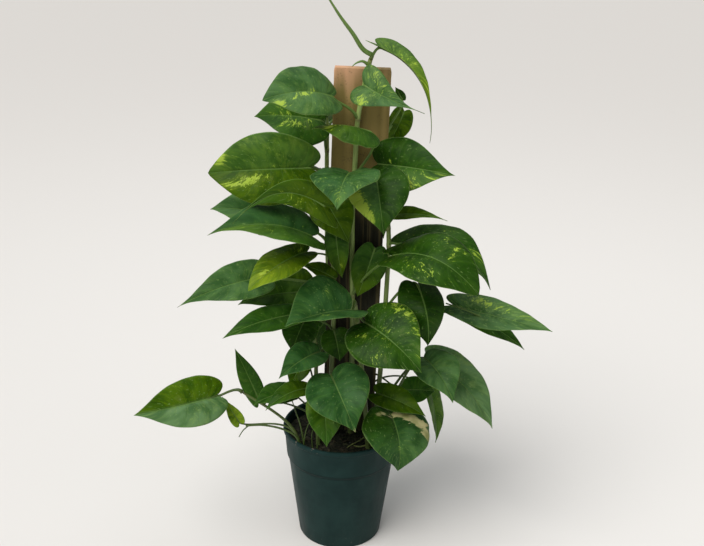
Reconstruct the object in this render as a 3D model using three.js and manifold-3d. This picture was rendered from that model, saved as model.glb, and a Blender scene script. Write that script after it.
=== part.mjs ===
// Golden pothos climbing a rough board, planted in a plastic nursery pot.
// Millimetres, +Z up, front towards -Y. The origin is the middle of the pot's underside.

import * as THREE from 'three';
import { mergeVertices } from 'three/addons/utils/BufferGeometryUtils.js';
import Module from 'manifold-3d';

const wasm = await Module();
wasm.setup();

// ---------------------------------------------------------------- driving sizes

const POT_HEIGHT = 160;
const POT_RIM_RADIUS = 78;
const POT_BASE_RADIUS = 56;
const POT_WALL = 1.6;
const POT_FLOOR = 3;
const LIP_HEIGHT = 7; // rolled lip at the top of the collar
const COLLAR_HEIGHT = 44; // lip and collar together
const COLLAR_STEP = 2; // the collar stands out from the wall by this much
const POT_SIDES = 34;
const DRAIN_HOLES = 8;
const DRAIN_HOLE_RADIUS = 4.5;
const DRAIN_RING_RADIUS = 42;

const SOIL_TOP = 146; // at the wall; the middle is a little higher
const SOIL_CROWN = 6;
const SOIL_RINGS = 4;
const SOIL_SECTORS = 20;
const SOIL_ROUGHNESS = 1.1;

const BOARD = { width: 68, thickness: 19, length: 618, foot: 15, x: 6, y: 5, chamfer: 1.4 };
const BOARD_LEAN = 1.1; // degrees, towards +X

const GAP = 0.35; // between pieces that touch
const BLADE_THICKNESS = 1;
const BLADE_ROWS = 7; // cells from the petiole to the tip
const BLADE_COLUMNS = 2; // cells from the midrib to the margin, each side
const MIDRIB_GATHER = 1.7; // gathers the rows of the blade towards its base
const MARGIN_RIPPLE = 0.05; // height of the waves in the margin, as a share of the half width
const PUFF = 0.07; // rise of each half between midrib and margin, as a share of the half width
const STEM_SIDES = 6;
const STEM_STEP = 26;
const PETIOLE_SIDES = 4;
const PETIOLE_STEPS = 4;
const PETIOLE_RADIUS = [1.9, 1.4]; // at the stem, at the blade
const PETIOLE_IN_BLADE = 8; // length of petiole that runs on into the blade

// Half of a blade's outline: [share of the length from the petiole, share of the half width].
const HALF_OUTLINE = [
  [0, 0], [-0.07, 0.12], [-0.12, 0.34], [-0.09, 0.6], [0.03, 0.84], [0.19, 0.98],
  [0.36, 0.99], [0.54, 0.85], [0.7, 0.59], [0.84, 0.29], [0.94, 0.09], [1, 0],
];

// ---------------------------------------------------------------- leafy stems
// A stem is its route, its radius and its leaves. A leaf is [height of its node on the stem,
// base, tip, the way its upper side looks, width, arch, fold, sweep, taper]: arch and sweep are
// the midrib's bow upwards and sideways as shares of the length, fold is how steeply the halves
// rise from the midrib, and taper, where a leaf has one, makes it slimmer towards the tip.

const STEMS = {
  vine_middle: {
    radius: 3.6,
    route: [[14, -14, 105], [12, -10, 160], [12, -9.4, 300], [9, -9.4, 450], [11, -9.4, 525],
      [13, -10, 574], [20, -10, 615], [25, -11, 640], [28, -12, 650]],
    leaves: [
      [645, [38, -18, 659], [97, -56, 558], [0.77, -0.48, 0.55], 52, 0.2, 0.4, 0, 1.8],
      [600, [20, -34, 618], [87, -72, 595], [0.55, -1, 0.1], 62, 0.02, 0.1, -0.03, 1.7],
      [575, [-17, -36, 605], [-93, -76, 607], [0.15, -1, 1], 60, 0.14, 0.1, 0, -0.35],
      [500, [28, -44, 567], [-39, -62, 574], [0, 0, 1], 66, 0.08, -0.5, 0],
      [470, [5, -72, 525], [-8, -134, 500], [-0.15, -0.4, 1], 80, 0.12, 0.1, 0],
      [492, [35, -57, 521], [45, -97, 460], [0, -1, 0.7], 72, 0.1, 0.1, 0],
      [350, [59, -64, 423], [155, -122, 398], [0.4, -0.8, 1], 66, 0.22, 0.1, 0, -0.5],
      [385, [37, -15, 413], [17, -19, 351], [0.1, -1, 0.3], 44, 0.06, 0.1, 0],
    ],
    spear: [[28, -12, 650], [18, -14, 656], [5, -20, 675], [-8, -26, 692], [-20, -32, 710],
      [-31, -40, 728]],
  },
  vine_left: {
    radius: 3.4,
    route: [[-16, -18, 105], [-14, -12, 160], [-14, -9.4, 250], [-12, -9.4, 340], [-14, -9.4, 394],
      [-22, -9.4, 440], [-26, -10, 470], [-29, -11, 500], [-31, -13, 515]],
    leaves: [
      [505, [-43, -34, 520], [-161, -48, 515], [-0.2, -1, 0.35], 74, 0.08, 0.1, 0, -0.35],
      [486, [-24, -76, 486], [-125, -112, 473], [0.1, -1, 0.05], 54, 0.04, 0.1, -0.24, 1.2],
      [440, [-28, -16, 481], [6, -42, 430], [0.2, -1, 0.4], 54, 0.08, 0.15, 0],
      [405, [-40, -50, 441], [-157, -92, 454], [0, -0.4, 1], 84, 0.13, 0.15, 0, 0.25],
      [395, [-46, -40, 417], [-111, -96, 387], [0, -0.5, 1], 41, 0.1, 0.1, 0, -0.35],
      [345, [-102, -30, 379], [-201, -66, 352], [0, -1, 1], 62, 0.1, 0.1, 0, 0.5],
      [325, [-13, -24, 378], [-53, -30, 397], [0, -0.6, 1], 26, 0.05, 0.2, 0],
      [300, [-58, -44, 336], [-144, -88, 322], [0, -0.6, 1], 40, 0.08, 0.1, 0],
      [394, [-11, -20, 439], [-2, -30, 380], [-0.2, -1, 0.3], 30, 0.08, 0.15, 0],
    ],
  },
  vine_right: {
    radius: 3.4,
    route: [[40, -20, 105], [44, -14, 160], [50, -10, 250], [54, -10, 358], [55, -10, 418], [51, -9.6, 470],
      [47, -9.6, 515], [50, -12, 538]],
    leaves: [
      [510, [39, -28, 525], [126, -66, 523], [0, -1, 0.5], 74, 0.06, 0.05, 0, 0.2],
      [440, [60, -30, 463], [121, -58, 466], [0, -0.6, 1], 27, 0.08, 0.15, 0, 0.6],
      [418, [69, -22, 424], [179, -54, 379], [0.6, -0.5, 1], 76, 0.25, 0.1, 0],
      [330, [91, -42, 377], [105, -68, 308], [0.1, -1, 0.9], 56, 0.3, -0.6, 0],
      [320, [141, -20, 342], [257, -62, 329], [0.1, -0.5, 1], 54, 0, 0.1, 0],
    ],
  },
  vine_front: {
    radius: 3.4,
    route: [[36, -50, 110], [35, -44, 160], [28, -33, 230], [20, -25, 300], [16, -24, 335], [14, -26, 350]],
    leaves: [
      [345, [8, -66, 352], [-67, -112, 350], [0, -0.3, 1], 90, 0.06, 0.5, 0],
      [320, [28, -80, 342], [94, -128, 301], [0.1, -1, 0.6], 88, 0.1, 0.05, 0.03],
      [250, [-13, -72, 267], [18, -124, 218], [0, -1, 0.8], 80, 0.12, 0.15, 0],
      [230, [-21, -62, 236], [-17, -96, 180], [0, -1, 0.6], 48, 0.1, 0.25, 0],
    ],
  },
  vine_front_right: {
    radius: 3.2,
    route: [[52, -40, 110], [52, -37, 160], [52, -33, 200], [52, -32, 222]],
    leaves: [
      [205, [112, -16, 266], [194, -60, 191], [0.5, -0.8, 1], 68, 0.13, 0.1, 0],
      [190, [102, -56, 286], [136, -104, 250], [0.3, -0.8, 0.8], 60, 0.15, 0.2, 0],
      [170, [61, -62, 212], [73, -104, 153], [0.59, -0.68, 0.48], 98, 0.14, 0.05, 0, -0.2],
      [214, [45, -40, 227], [107, -68, 211], [0, -0.7, 1], 38, 0.08, 0.2, 0],
    ],
  },
  vine_low_left: {
    radius: 3.2,
    route: [[-28, -44, 110], [-30, -36, 160], [-33, -30, 220], [-34, -28, 280], [-35, -28, 300]],
    leaves: [
      [290, [-48, -8, 316], [-65, -20, 273], [-0.3, -1, 0.4], 50, 0.08, 0.2, 0],
      [260, [-30, -52, 289], [-76, -96, 274], [0, -0.6, 1], 44, 0.1, 0.2, 0],
      [225, [-50, -14, 262], [-67, -30, 228], [-0.2, -1, 0.2], 30, 0.05, 0.2, 0],
      [180, [-109, -24, 207], [-137, -32, 282], [0, -1, 0.3], 27, -0.05, 0.2, 0],
      [185, [-65, -28, 220], [-112, -58, 216], [0, -0.4, 1], 40, 0.1, 0.1, 0],
      [262, [-11, -20, 303], [-3, -32, 268], [0.2, -1, 0.4], 42, 0.08, 0.2, 0],
      [200, [-43, -40, 232], [-95, -72, 217], [0, -0.2, 1], 34, 0.12, 0.2, 0],
    ],
  },
  runner_left: {
    radius: 2.2,
    route: [[-50, -36, 118], [-54, -37, 150], [-62, -38, 170], [-74, -40, 186], [-94, -41, 203],
      [-112, -41, 215], [-129, -41, 226]],
    leaves: [
      [225, [-161, -44, 220], [-256, -92, 217], [0, -1, 0.9], 66, 0.05, 0.1, 0.03],
      [165, [-133, -38, 180], [-155, -30, 212], [0.2, -1, 0.3], 21, -0.05, 0.2, 0, 0.6],
    ],
  },
  vine_back_left: {
    radius: 3.4,
    route: [[-12, 30, 105], [-14, 24, 160], [-18, 19.8, 300], [-23, 19.8, 430], [-24, 19, 530],
      [-24, 19, 570]],
    leaves: [
      [530, [-31, 9, 568], [-110, -6, 575], [0, -1.2, 1], 78, 0.08, 0.1, 0],
      [410, [-82, 10, 444], [-165, -12, 461], [0, -0.8, 1], 70, 0.08, 0.1, 0],
      [320, [-56, -4, 350], [-133, -22, 339], [0, -0.6, 1], 46, 0.08, 0.1, 0],
      [330, [-47, 30, 347], [-106, 20, 352], [0, -0.5, 1], 50, 0.08, 0.2, 0],
      [555, [-8, 50, 574], [-34, 114, 538], [-0.1, 1, 0.9], 80, 0.12, 0.2, 0],
      [470, [-44, 50, 500], [-126, 92, 476], [-0.4, 1, 1], 88, 0.14, 0.1, 0],
      [375, [12, 62, 400], [-1, 118, 309], [-0.2, 1, 0.7], 56, 0.1, 0.2, 0],
      [280, [-18, 42, 301], [-56, 68, 217], [-0.3, -1, 0.5], 60, 0.12, 0.15, 0],
      [210, [-24, 60, 236], [-56, 116, 192], [-0.2, 1, 1], 66, 0.12, 0.2, 0],
    ],
  },
  vine_back_right: {
    radius: 3.4,
    route: [[34, 32, 105], [34, 25, 160], [34, 19.8, 300], [38, 19.8, 430], [42, 19.8, 520], [46, 21, 555]],
    leaves: [
      [540, [70, 44, 574], [52, 36, 533], [0.3, -1, 0.4], 31, 0.08, 0.2, 0],
      [550, [66, 10, 595], [57, 10, 610], [0, -1, 0.3], 12, 0.05, 0.3, 0],
      [380, [108, 12, 408], [170, -4, 407], [0, -0.5, 1], 36, 0.06, 0.1, 0],
      [290, [153, 14, 320], [235, -12, 280], [0.1, -0.6, 1], 34, 0.08, 0.1, 0],
      [220, [83, 6, 209], [125, 14, 204], [0.1, -1, 0.8], 36, 0.08, 0.2, 0],
      [200, [119, 34, 198], [131, 22, 120], [1, -0.7, 0.1], 34, 0.06, 0.2, 0],
      [490, [59, 48, 505], [118, 84, 480], [0.3, 1, 1], 50, 0.12, 0.2, 0],
      [425, [31, 62, 452], [53, 126, 382], [0.2, 1, 0.8], 52, 0.12, 0.15, 0],
      [335, [70, 52, 390], [154, 88, 363], [0.3, 1, 1], 58, 0.14, 0.1, 0],
      [245, [39, 60, 283], [78, 112, 231], [0.2, 1, 0.9], 60, 0.1, 0.2, 0],
    ],
  },
};

// ---------------------------------------------------------------- materials

const potPlastic = new THREE.MeshStandardMaterial({ color: 0x1f3b36, roughness: 0.45, metalness: 0 });
const pottingMix = new THREE.MeshStandardMaterial({ color: 0x2a211a, roughness: 0.95, metalness: 0 });
const roughTimber = new THREE.MeshStandardMaterial({ color: 0x7d5f42, roughness: 0.85, metalness: 0 });
const foliage = new THREE.MeshStandardMaterial({ color: 0x3f7a2a, roughness: 0.4, metalness: 0 });

// ---------------------------------------------------------------- solids and booleans

function solidFrom(geometry) {
  const bare = geometry.clone();
  bare.deleteAttribute('normal');
  bare.deleteAttribute('uv');
  const merged = mergeVertices(bare, 1e-4);
  return new wasm.Manifold(new wasm.Mesh({
    numProp: 3,
    vertProperties: new Float32Array(merged.attributes.position.array),
    triVerts: new Uint32Array(merged.index.array),
  }));
}

function geometryFrom(solid) {
  const { vertProperties, triVerts } = solid.getMesh();
  const geometry = new THREE.BufferGeometry();
  geometry.setAttribute('position', new THREE.BufferAttribute(new Float32Array(vertProperties), 3));
  geometry.setIndex(new THREE.BufferAttribute(new Uint32Array(triVerts), 1));
  geometry.computeVertexNormals();
  return geometry;
}

function joined(solids) {
  return solids.reduce((whole, solid) => whole.add(solid));
}

function piece(name, solid, material) {
  const mesh = new THREE.Mesh(geometryFrom(solid), material);
  mesh.name = name;
  return mesh;
}

function closedGeometry(points, faces) {
  const geometry = new THREE.BufferGeometry();
  const numbers = points.flatMap((point) => point.toArray());
  geometry.setAttribute('position', new THREE.Float32BufferAttribute(numbers, 3));
  geometry.setIndex(faces.flat());
  return geometry;
}

// A closed tube along the points of a route, with flat ends and a radius for each step.
function tube(route, radiusAt, steps, sides) {
  const curve = new THREE.CatmullRomCurve3(route, false, 'centripetal');
  const frames = curve.computeFrenetFrames(steps, false);
  const points = [];
  for (let step = 0; step <= steps; step += 1) {
    const middle = curve.getPointAt(step / steps);
    for (let side = 0; side < sides; side += 1) {
      const turn = (side / sides) * 2 * Math.PI;
      points.push(middle.clone()
        .addScaledVector(frames.normals[step], radiusAt(step / steps) * Math.cos(turn))
        .addScaledVector(frames.binormals[step], radiusAt(step / steps) * Math.sin(turn)));
    }
  }
  const faces = [];
  for (let step = 0; step < steps; step += 1) {
    for (let side = 0; side < sides; side += 1) {
      const next = (side + 1) % sides;
      const low = step * sides;
      const high = low + sides;
      faces.push([low + side, low + next, high + next], [low + side, high + next, high + side]);
    }
  }
  const last = steps * sides;
  for (let side = 1; side < sides - 1; side += 1) {
    faces.push([0, side + 1, side], [last, last + side, last + side + 1]);
  }
  return closedGeometry(points, faces);
}

// ---------------------------------------------------------------- leaves

const vector = (xyz) => new THREE.Vector3(...xyz);

// The point at a share of the way round half of the outline, on a smooth curve through its points.
function outlineAt(share) {
  const place = share * (HALF_OUTLINE.length - 1);
  const start = Math.min(Math.floor(place), HALF_OUTLINE.length - 2);
  const [before, from, to, after] = [-1, 0, 1, 2].map((step) => {
    const index = THREE.MathUtils.clamp(start + step, 0, HALF_OUTLINE.length - 1);
    return HALF_OUTLINE[index];
  });
  const t = place - start;
  return [0, 1].map((axis) => 0.5 * (2 * from[axis] + (to[axis] - before[axis]) * t
    + (2 * before[axis] - 5 * from[axis] + 4 * to[axis] - after[axis]) * t ** 2
    + (3 * from[axis] - before[axis] - 3 * to[axis] + after[axis]) * t ** 3));
}

function leafAxes([, base, tip, looks]) {
  const along = vector(tip).sub(vector(base));
  const length = along.length();
  along.normalize();
  const up = vector(looks);
  up.addScaledVector(along, -up.dot(along)).normalize();
  const out = new THREE.Vector3().crossVectors(up, along);
  return { length, along, up, out };
}

// A point of the blade's middle surface: row runs from the petiole (0) to the tip (1), and column
// from the margin on one side (-1) over the midrib (0) to the margin on the other side (1).
function bladePoint(leaf, axes, row, column) {
  const [, base, , , width, arch, fold, sweep, taper = 0] = leaf;
  const midrib = row ** MIDRIB_GATHER;
  const [marginAlong, marginShare] = outlineAt(row);
  const marginOut = marginShare * Math.max(0.02, 1 - marginAlong) ** taper;
  const reach = Math.abs(column);
  const along = midrib + (marginAlong - midrib) * reach;
  const out = marginOut * reach;
  const wave = Math.sin(10 * along + base[0] + 2 * Math.sign(column));
  const ripple = MARGIN_RIPPLE * reach ** 3 * wave * marginOut;
  const bow = 4 * along * (1 - along) * axes.length;
  const rise = arch * bow + (width / 2) * (fold * out + 4 * PUFF * out * (1 - out) + ripple);
  return vector(base)
    .addScaledVector(axes.along, along * axes.length)
    .addScaledVector(axes.out, out * Math.sign(column) * (width / 2) + sweep * bow)
    .addScaledVector(axes.up, rise);
}

function blade(leaf) {
  const axes = leafAxes(leaf);
  const columns = 2 * BLADE_COLUMNS + 1;
  const points = [];
  const index = (row, column) => {
    if (row === 0) return 0;
    if (row === BLADE_ROWS) return 1 + (BLADE_ROWS - 1) * columns;
    return 1 + (row - 1) * columns + column;
  };
  points.push(bladePoint(leaf, axes, 0, 0));
  for (let row = 1; row < BLADE_ROWS; row += 1) {
    for (let column = 0; column < columns; column += 1) {
      points.push(bladePoint(leaf, axes, row / BLADE_ROWS, (column - BLADE_COLUMNS) / BLADE_COLUMNS));
    }
  }
  points.push(bladePoint(leaf, axes, 1, 0));
  const faces = [];
  for (let row = 0; row < BLADE_ROWS; row += 1) {
    for (let column = 0; column < columns - 1; column += 1) {
      const corners = [
        index(row, column), index(row + 1, column), index(row + 1, column + 1), index(row, column + 1),
      ];
      if (row === 0) faces.push([corners[0], corners[1], corners[2]]);
      else if (row === BLADE_ROWS - 1) faces.push([corners[0], corners[1], corners[3]]);
      else faces.push([corners[0], corners[1], corners[2]], [corners[0], corners[2], corners[3]]);
    }
  }
  return thickened(points, faces, columns, index);
}

// Both faces of a blade from its middle surface, joined round the margin.
function thickened(points, faces, columns, index) {
  const normals = points.map(() => new THREE.Vector3());
  for (const [a, b, c] of faces) {
    const normal = points[b].clone().sub(points[a]).cross(points[c].clone().sub(points[a]));
    [a, b, c].forEach((corner) => normals[corner].add(normal));
  }
  const side = (sign) => points.map((point, i) => point.clone()
    .addScaledVector(normals[i].clone().normalize(), sign * (BLADE_THICKNESS / 2)));
  const count = points.length;
  const rim = [index(0, 0)];
  for (let row = 1; row < BLADE_ROWS; row += 1) rim.push(index(row, 0));
  rim.push(index(BLADE_ROWS, 0));
  for (let row = BLADE_ROWS - 1; row > 0; row -= 1) rim.push(index(row, columns - 1));
  const edge = rim.flatMap((from, i) => {
    const to = rim[(i + 1) % rim.length];
    return [[from, from + count, to + count], [from, to + count, to]];
  });
  const underside = faces.map(([a, b, c]) => [a + count, c + count, b + count]);
  return closedGeometry([...side(1), ...side(-1)], [...faces, ...underside, ...edge]);
}

// The petiole leaves the stem upwards and outwards, bows over, and comes to the blade from below.
function petiole(leaf, node) {
  const axes = leafAxes(leaf);
  const base = vector(leaf[1]);
  const way = base.clone().sub(node);
  const reach = way.length();
  const start = way.clone().setZ(0).normalize().multiplyScalar(0.5).add(vector([0, 0, 0.85])).normalize();
  const arrival = axes.along.clone().multiplyScalar(0.6).addScaledVector(axes.up, 0.8).normalize();
  const bow = new THREE.CubicBezierCurve3(
    node,
    node.clone().addScaledVector(start, 0.4 * reach),
    base.clone().addScaledVector(arrival, -0.35 * reach),
    base,
  );
  const route = bow.getPoints(PETIOLE_STEPS - 1);
  route.push(bladePoint(leaf, axes, (PETIOLE_IN_BLADE / axes.length) ** (1 / MIDRIB_GATHER), 0));
  const radius = (share) => THREE.MathUtils.lerp(...PETIOLE_RADIUS, share);
  return tube(route, radius, PETIOLE_STEPS, PETIOLE_SIDES);
}

// The point of a stem's route at a height.
function stemAt(route, height) {
  const above = route.findIndex((point) => point[2] >= height);
  if (above <= 0) return vector(route[above < 0 ? route.length - 1 : 0]);
  const [low, high] = [vector(route[above - 1]), vector(route[above])];
  return low.lerp(high, (height - low.z) / (high.z - low.z));
}

function leafyStem({ radius, route, leaves, spear }) {
  const curve = route.map(vector);
  const length = new THREE.CatmullRomCurve3(curve, false, 'centripetal').getLength();
  const steps = Math.round(length / STEM_STEP);
  const solids = [solidFrom(tube(curve, (share) => radius * (1 - 0.25 * share), steps, STEM_SIDES))];
  for (const leaf of leaves) {
    solids.push(solidFrom(petiole(leaf, stemAt(route, leaf[0]))), solidFrom(blade(leaf)));
  }
  if (spear) solids.push(solidFrom(tube(spear.map(vector), (share) => 2.9 - 2.2 * share, 8, 6)));
  return joined(solids);
}

// ---------------------------------------------------------------- pot, soil and board

function lathed(profile) {
  const geometry = new THREE.LatheGeometry(profile.map(([r, z]) => new THREE.Vector2(r, z)), POT_SIDES);
  geometry.rotateX(Math.PI / 2);
  return solidFrom(geometry);
}

const collarFoot = POT_HEIGHT - COLLAR_HEIGHT;
const wallTopRadius = POT_RIM_RADIUS - 7;

function wallRadius(height) {
  return THREE.MathUtils.mapLinear(height, 0, collarFoot, POT_BASE_RADIUS, wallTopRadius);
}

function cylinderSolid(radius, height, sides, [x, y, z]) {
  const geometry = new THREE.CylinderGeometry(radius, radius, height, sides);
  geometry.rotateX(Math.PI / 2);
  geometry.translate(x, y, z);
  return solidFrom(geometry);
}

function pot() {
  const collarRadius = wallTopRadius + COLLAR_STEP;
  const lipFoot = POT_HEIGHT - LIP_HEIGHT;
  let body = lathed([
    [0, 0], [POT_BASE_RADIUS - 1.5, 0], [POT_BASE_RADIUS, 1.5], [wallTopRadius, collarFoot],
    [collarRadius, collarFoot + 3], [POT_RIM_RADIUS - 2, lipFoot], [POT_RIM_RADIUS, lipFoot + 1.5],
    [POT_RIM_RADIUS, POT_HEIGHT - 1], [POT_RIM_RADIUS - 1, POT_HEIGHT], [POT_RIM_RADIUS - 3, POT_HEIGHT],
    [POT_RIM_RADIUS - 2 - POT_WALL - 0.6, lipFoot], [collarRadius - POT_WALL, collarFoot + 3],
    [wallTopRadius - POT_WALL, collarFoot], [POT_BASE_RADIUS - POT_WALL, POT_FLOOR], [0, POT_FLOOR],
  ]);
  for (let hole = 0; hole < DRAIN_HOLES; hole += 1) {
    const turn = ((hole + 0.5) / DRAIN_HOLES) * 2 * Math.PI;
    const centre = [DRAIN_RING_RADIUS * Math.cos(turn), DRAIN_RING_RADIUS * Math.sin(turn), POT_FLOOR / 2];
    body = body.subtract(cylinderSolid(DRAIN_HOLE_RADIUS, 4 * POT_FLOOR, 10, centre));
  }
  return body;
}

// Height of the rough top of the soil.
function soilHeight(radius, turn, outer) {
  const crown = SOIL_CROWN * (1 - (radius / outer) ** 2);
  const lumps = Math.sin(0.19 * radius + 3 * turn) * Math.cos(5 * turn - 0.11 * radius)
    + 0.6 * Math.sin(7 * turn);
  return SOIL_TOP + crown + SOIL_ROUGHNESS * lumps * (radius > 0 ? 1 : 0);
}

function soil(holes) {
  const outer = innerRadius(SOIL_TOP) - GAP;
  const rings = [[innerRadius(POT_FLOOR + GAP) - GAP, () => POT_FLOOR + GAP]];
  rings.push([innerRadius(collarFoot) - GAP, () => collarFoot]);
  for (let ring = SOIL_RINGS; ring > 0; ring -= 1) {
    const radius = (outer * ring) / SOIL_RINGS;
    rings.push([radius, (turn) => soilHeight(radius, turn, outer)]);
  }
  const points = [vector([0, 0, POT_FLOOR + GAP])];
  for (const [radius, height] of rings) {
    for (let sector = 0; sector < SOIL_SECTORS; sector += 1) {
      const turn = (sector / SOIL_SECTORS) * 2 * Math.PI;
      points.push(vector([radius * Math.cos(turn), radius * Math.sin(turn), height(turn)]));
    }
  }
  points.push(vector([0, 0, soilHeight(0, 0, outer)]));
  const faces = [];
  for (let sector = 0; sector < SOIL_SECTORS; sector += 1) {
    const next = (sector + 1) % SOIL_SECTORS;
    faces.push([0, 1 + next, 1 + sector]);
    for (let ring = 0; ring < rings.length - 1; ring += 1) {
      const low = 1 + ring * SOIL_SECTORS;
      const high = low + SOIL_SECTORS;
      faces.push([low + sector, low + next, high + next], [low + sector, high + next, high + sector]);
    }
    const top = 1 + (rings.length - 1) * SOIL_SECTORS;
    faces.push([top + sector, top + next, points.length - 1]);
  }
  return holes.reduce((body, hole) => body.subtract(hole), solidFrom(closedGeometry(points, faces)));
}

function innerRadius(height) {
  if (height <= collarFoot) return wallRadius(height) - POT_WALL - 0.4;
  const share = (height - collarFoot) / (COLLAR_HEIGHT - LIP_HEIGHT);
  return THREE.MathUtils.lerp(wallTopRadius - POT_WALL, POT_RIM_RADIUS - 2 - POT_WALL - 0.6, share) - 0.5;
}

// A hole in the soil that a stem stands in.
function stemHole({ radius, route }) {
  const below = route.slice(0, 3).map(vector);
  return solidFrom(tube(below, () => radius + GAP + 0.4, 5, STEM_SIDES + 1));
}

function boardSolid(spread) {
  const { width, thickness, length, foot, x, y, chamfer } = BOARD;
  const [w, d, c] = [width / 2 + spread, thickness / 2 + spread, chamfer];
  const outline = new THREE.Shape([
    [-w + c, -d], [w - c, -d], [w, -d + c], [w, d - c], [w - c, d], [-w + c, d], [-w, d - c], [-w, -d + c],
  ].map(([px, py]) => new THREE.Vector2(px, py)));
  const geometry = new THREE.ExtrudeGeometry(outline, { depth: length + 2 * spread, bevelEnabled: false });
  geometry.translate(0, 0, -spread);
  geometry.rotateY(THREE.MathUtils.degToRad(BOARD_LEAN));
  geometry.translate(x, y, foot);
  return solidFrom(geometry);
}

// ---------------------------------------------------------------- the whole plant

const plant = new THREE.Group();
plant.add(piece('pot', pot(), potPlastic));
plant.add(piece('soil', soil([boardSolid(GAP), ...Object.values(STEMS).map(stemHole)]), pottingMix));
plant.add(piece('board', boardSolid(0), roughTimber));
for (const [name, stem] of Object.entries(STEMS)) plant.add(piece(name, leafyStem(stem), foliage));

export default plant;
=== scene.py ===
"""Golden pothos climbing a rough board in a nursery pot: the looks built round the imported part.
Metres, +Z up, front towards -Y. The plant, pot, soil and board are worked out in millimetres, as in
the part's source, and turned into metres where their meshes are made."""

import math
from collections import namedtuple

import bpy
import numpy as np
from mathutils import Matrix, Vector


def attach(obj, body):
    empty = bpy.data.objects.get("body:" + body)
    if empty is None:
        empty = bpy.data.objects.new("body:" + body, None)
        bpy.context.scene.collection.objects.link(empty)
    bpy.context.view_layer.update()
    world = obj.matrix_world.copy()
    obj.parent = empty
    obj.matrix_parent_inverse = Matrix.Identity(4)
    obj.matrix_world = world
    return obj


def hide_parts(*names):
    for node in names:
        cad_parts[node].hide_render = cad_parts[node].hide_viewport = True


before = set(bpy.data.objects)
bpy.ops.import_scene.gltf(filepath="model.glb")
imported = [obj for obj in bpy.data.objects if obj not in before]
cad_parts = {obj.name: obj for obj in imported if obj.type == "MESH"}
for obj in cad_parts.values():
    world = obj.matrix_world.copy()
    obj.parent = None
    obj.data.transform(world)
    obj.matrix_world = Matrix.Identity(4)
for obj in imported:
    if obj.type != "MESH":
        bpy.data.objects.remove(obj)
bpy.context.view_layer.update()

MM = 0.001


# ---------------------------------------------------------------- camera, floor and lights

def set_camera():
    """The camera stands a little above the plant's top and looks down at it."""
    down, turn = math.radians(20.4), math.radians(1.2)
    place = (0.010, -1.129, 0.796)
    picture_width, focal_length_in_pixels = 704, 950
    right = Vector((1, 0, 0))
    up = Vector((0, math.sin(down), math.cos(down)))
    across = math.cos(turn) * right + math.sin(turn) * up
    upward = -math.sin(turn) * right + math.cos(turn) * up
    backward = Vector((0, -math.cos(down), math.sin(down)))
    data = bpy.data.cameras.new("camera")
    data.sensor_width = 36
    data.lens = focal_length_in_pixels * data.sensor_width / picture_width
    data.clip_start, data.clip_end = 0.05, 200
    camera = bpy.data.objects.new("camera", data)
    turned = Matrix((across, upward, backward)).transposed()
    camera.matrix_world = Matrix.Translation(place) @ turned.to_4x4()
    bpy.context.scene.collection.objects.link(camera)
    bpy.context.scene.camera = camera


def add_floor():
    just_below_pot = -0.0003
    bpy.ops.mesh.primitive_circle_add(vertices=96, radius=60, fill_type="NGON",
                                      location=(0, 0, just_below_pot))
    floor = bpy.context.object
    floor.name = "floor"
    finish, _ = new_material("pale_floor", 0.2, Base_Color=(0.72, 0.70, 0.68, 1), Roughness=0.75)
    give_finishes(floor, [finish])


def add_light(name, kind, place, power, colour, **settings):
    """A light that shines on the middle of the plant."""
    middle = Vector((0, 0, 0.4))
    data = bpy.data.lights.new(name, kind)
    data.energy = power
    data.color = colour
    for setting, value in settings.items():
        setattr(data, setting, value)
    lamp = bpy.data.objects.new(name, data)
    lamp.location = place
    lamp.rotation_euler = (middle - Vector(place)).to_track_quat("-Z", "Y").to_euler()
    bpy.context.scene.collection.objects.link(lamp)


def add_lights():
    """A very wide soft light from the upper left front, two weak ones, and a pale surround."""
    add_light("key_light", "SUN", (-1.1, -1.5, 2.7), 3.1, (1.0, 0.985, 0.96), angle=math.radians(48))
    add_light("top_light", "AREA", (0.1, 0.5, 2.4), 14, (0.90, 0.96, 1.0), shape="DISK", size=1.8)
    add_light("fill_light", "AREA", (1.9, -1.2, 1.2), 4, (0.98, 0.98, 1.0), shape="DISK", size=1.6)
    world = bpy.data.worlds.new("pale_studio")
    world.use_nodes = True
    tree = world.node_tree
    surround = tree.nodes["Background"]
    surround.inputs["Color"].default_value = (0.98, 0.98, 0.96, 1)
    surround.inputs["Strength"].default_value = 0.28
    seen = tree.nodes.new("ShaderNodeBackground")
    seen.inputs["Color"].default_value = (0.80, 0.785, 0.755, 1)
    path = tree.nodes.new("ShaderNodeLightPath")
    either = tree.nodes.new("ShaderNodeMixShader")
    tree.links.new(path.outputs["Is Camera Ray"], either.inputs[0])
    tree.links.new(surround.outputs[0], either.inputs[1])
    tree.links.new(seen.outputs[0], either.inputs[2])
    tree.links.new(either.outputs[0], tree.nodes["World Output"].inputs["Surface"])
    bpy.context.scene.world = world
    bpy.context.scene.view_settings.view_transform = "Standard"


# ---------------------------------------------------------------- wiring materials

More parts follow.
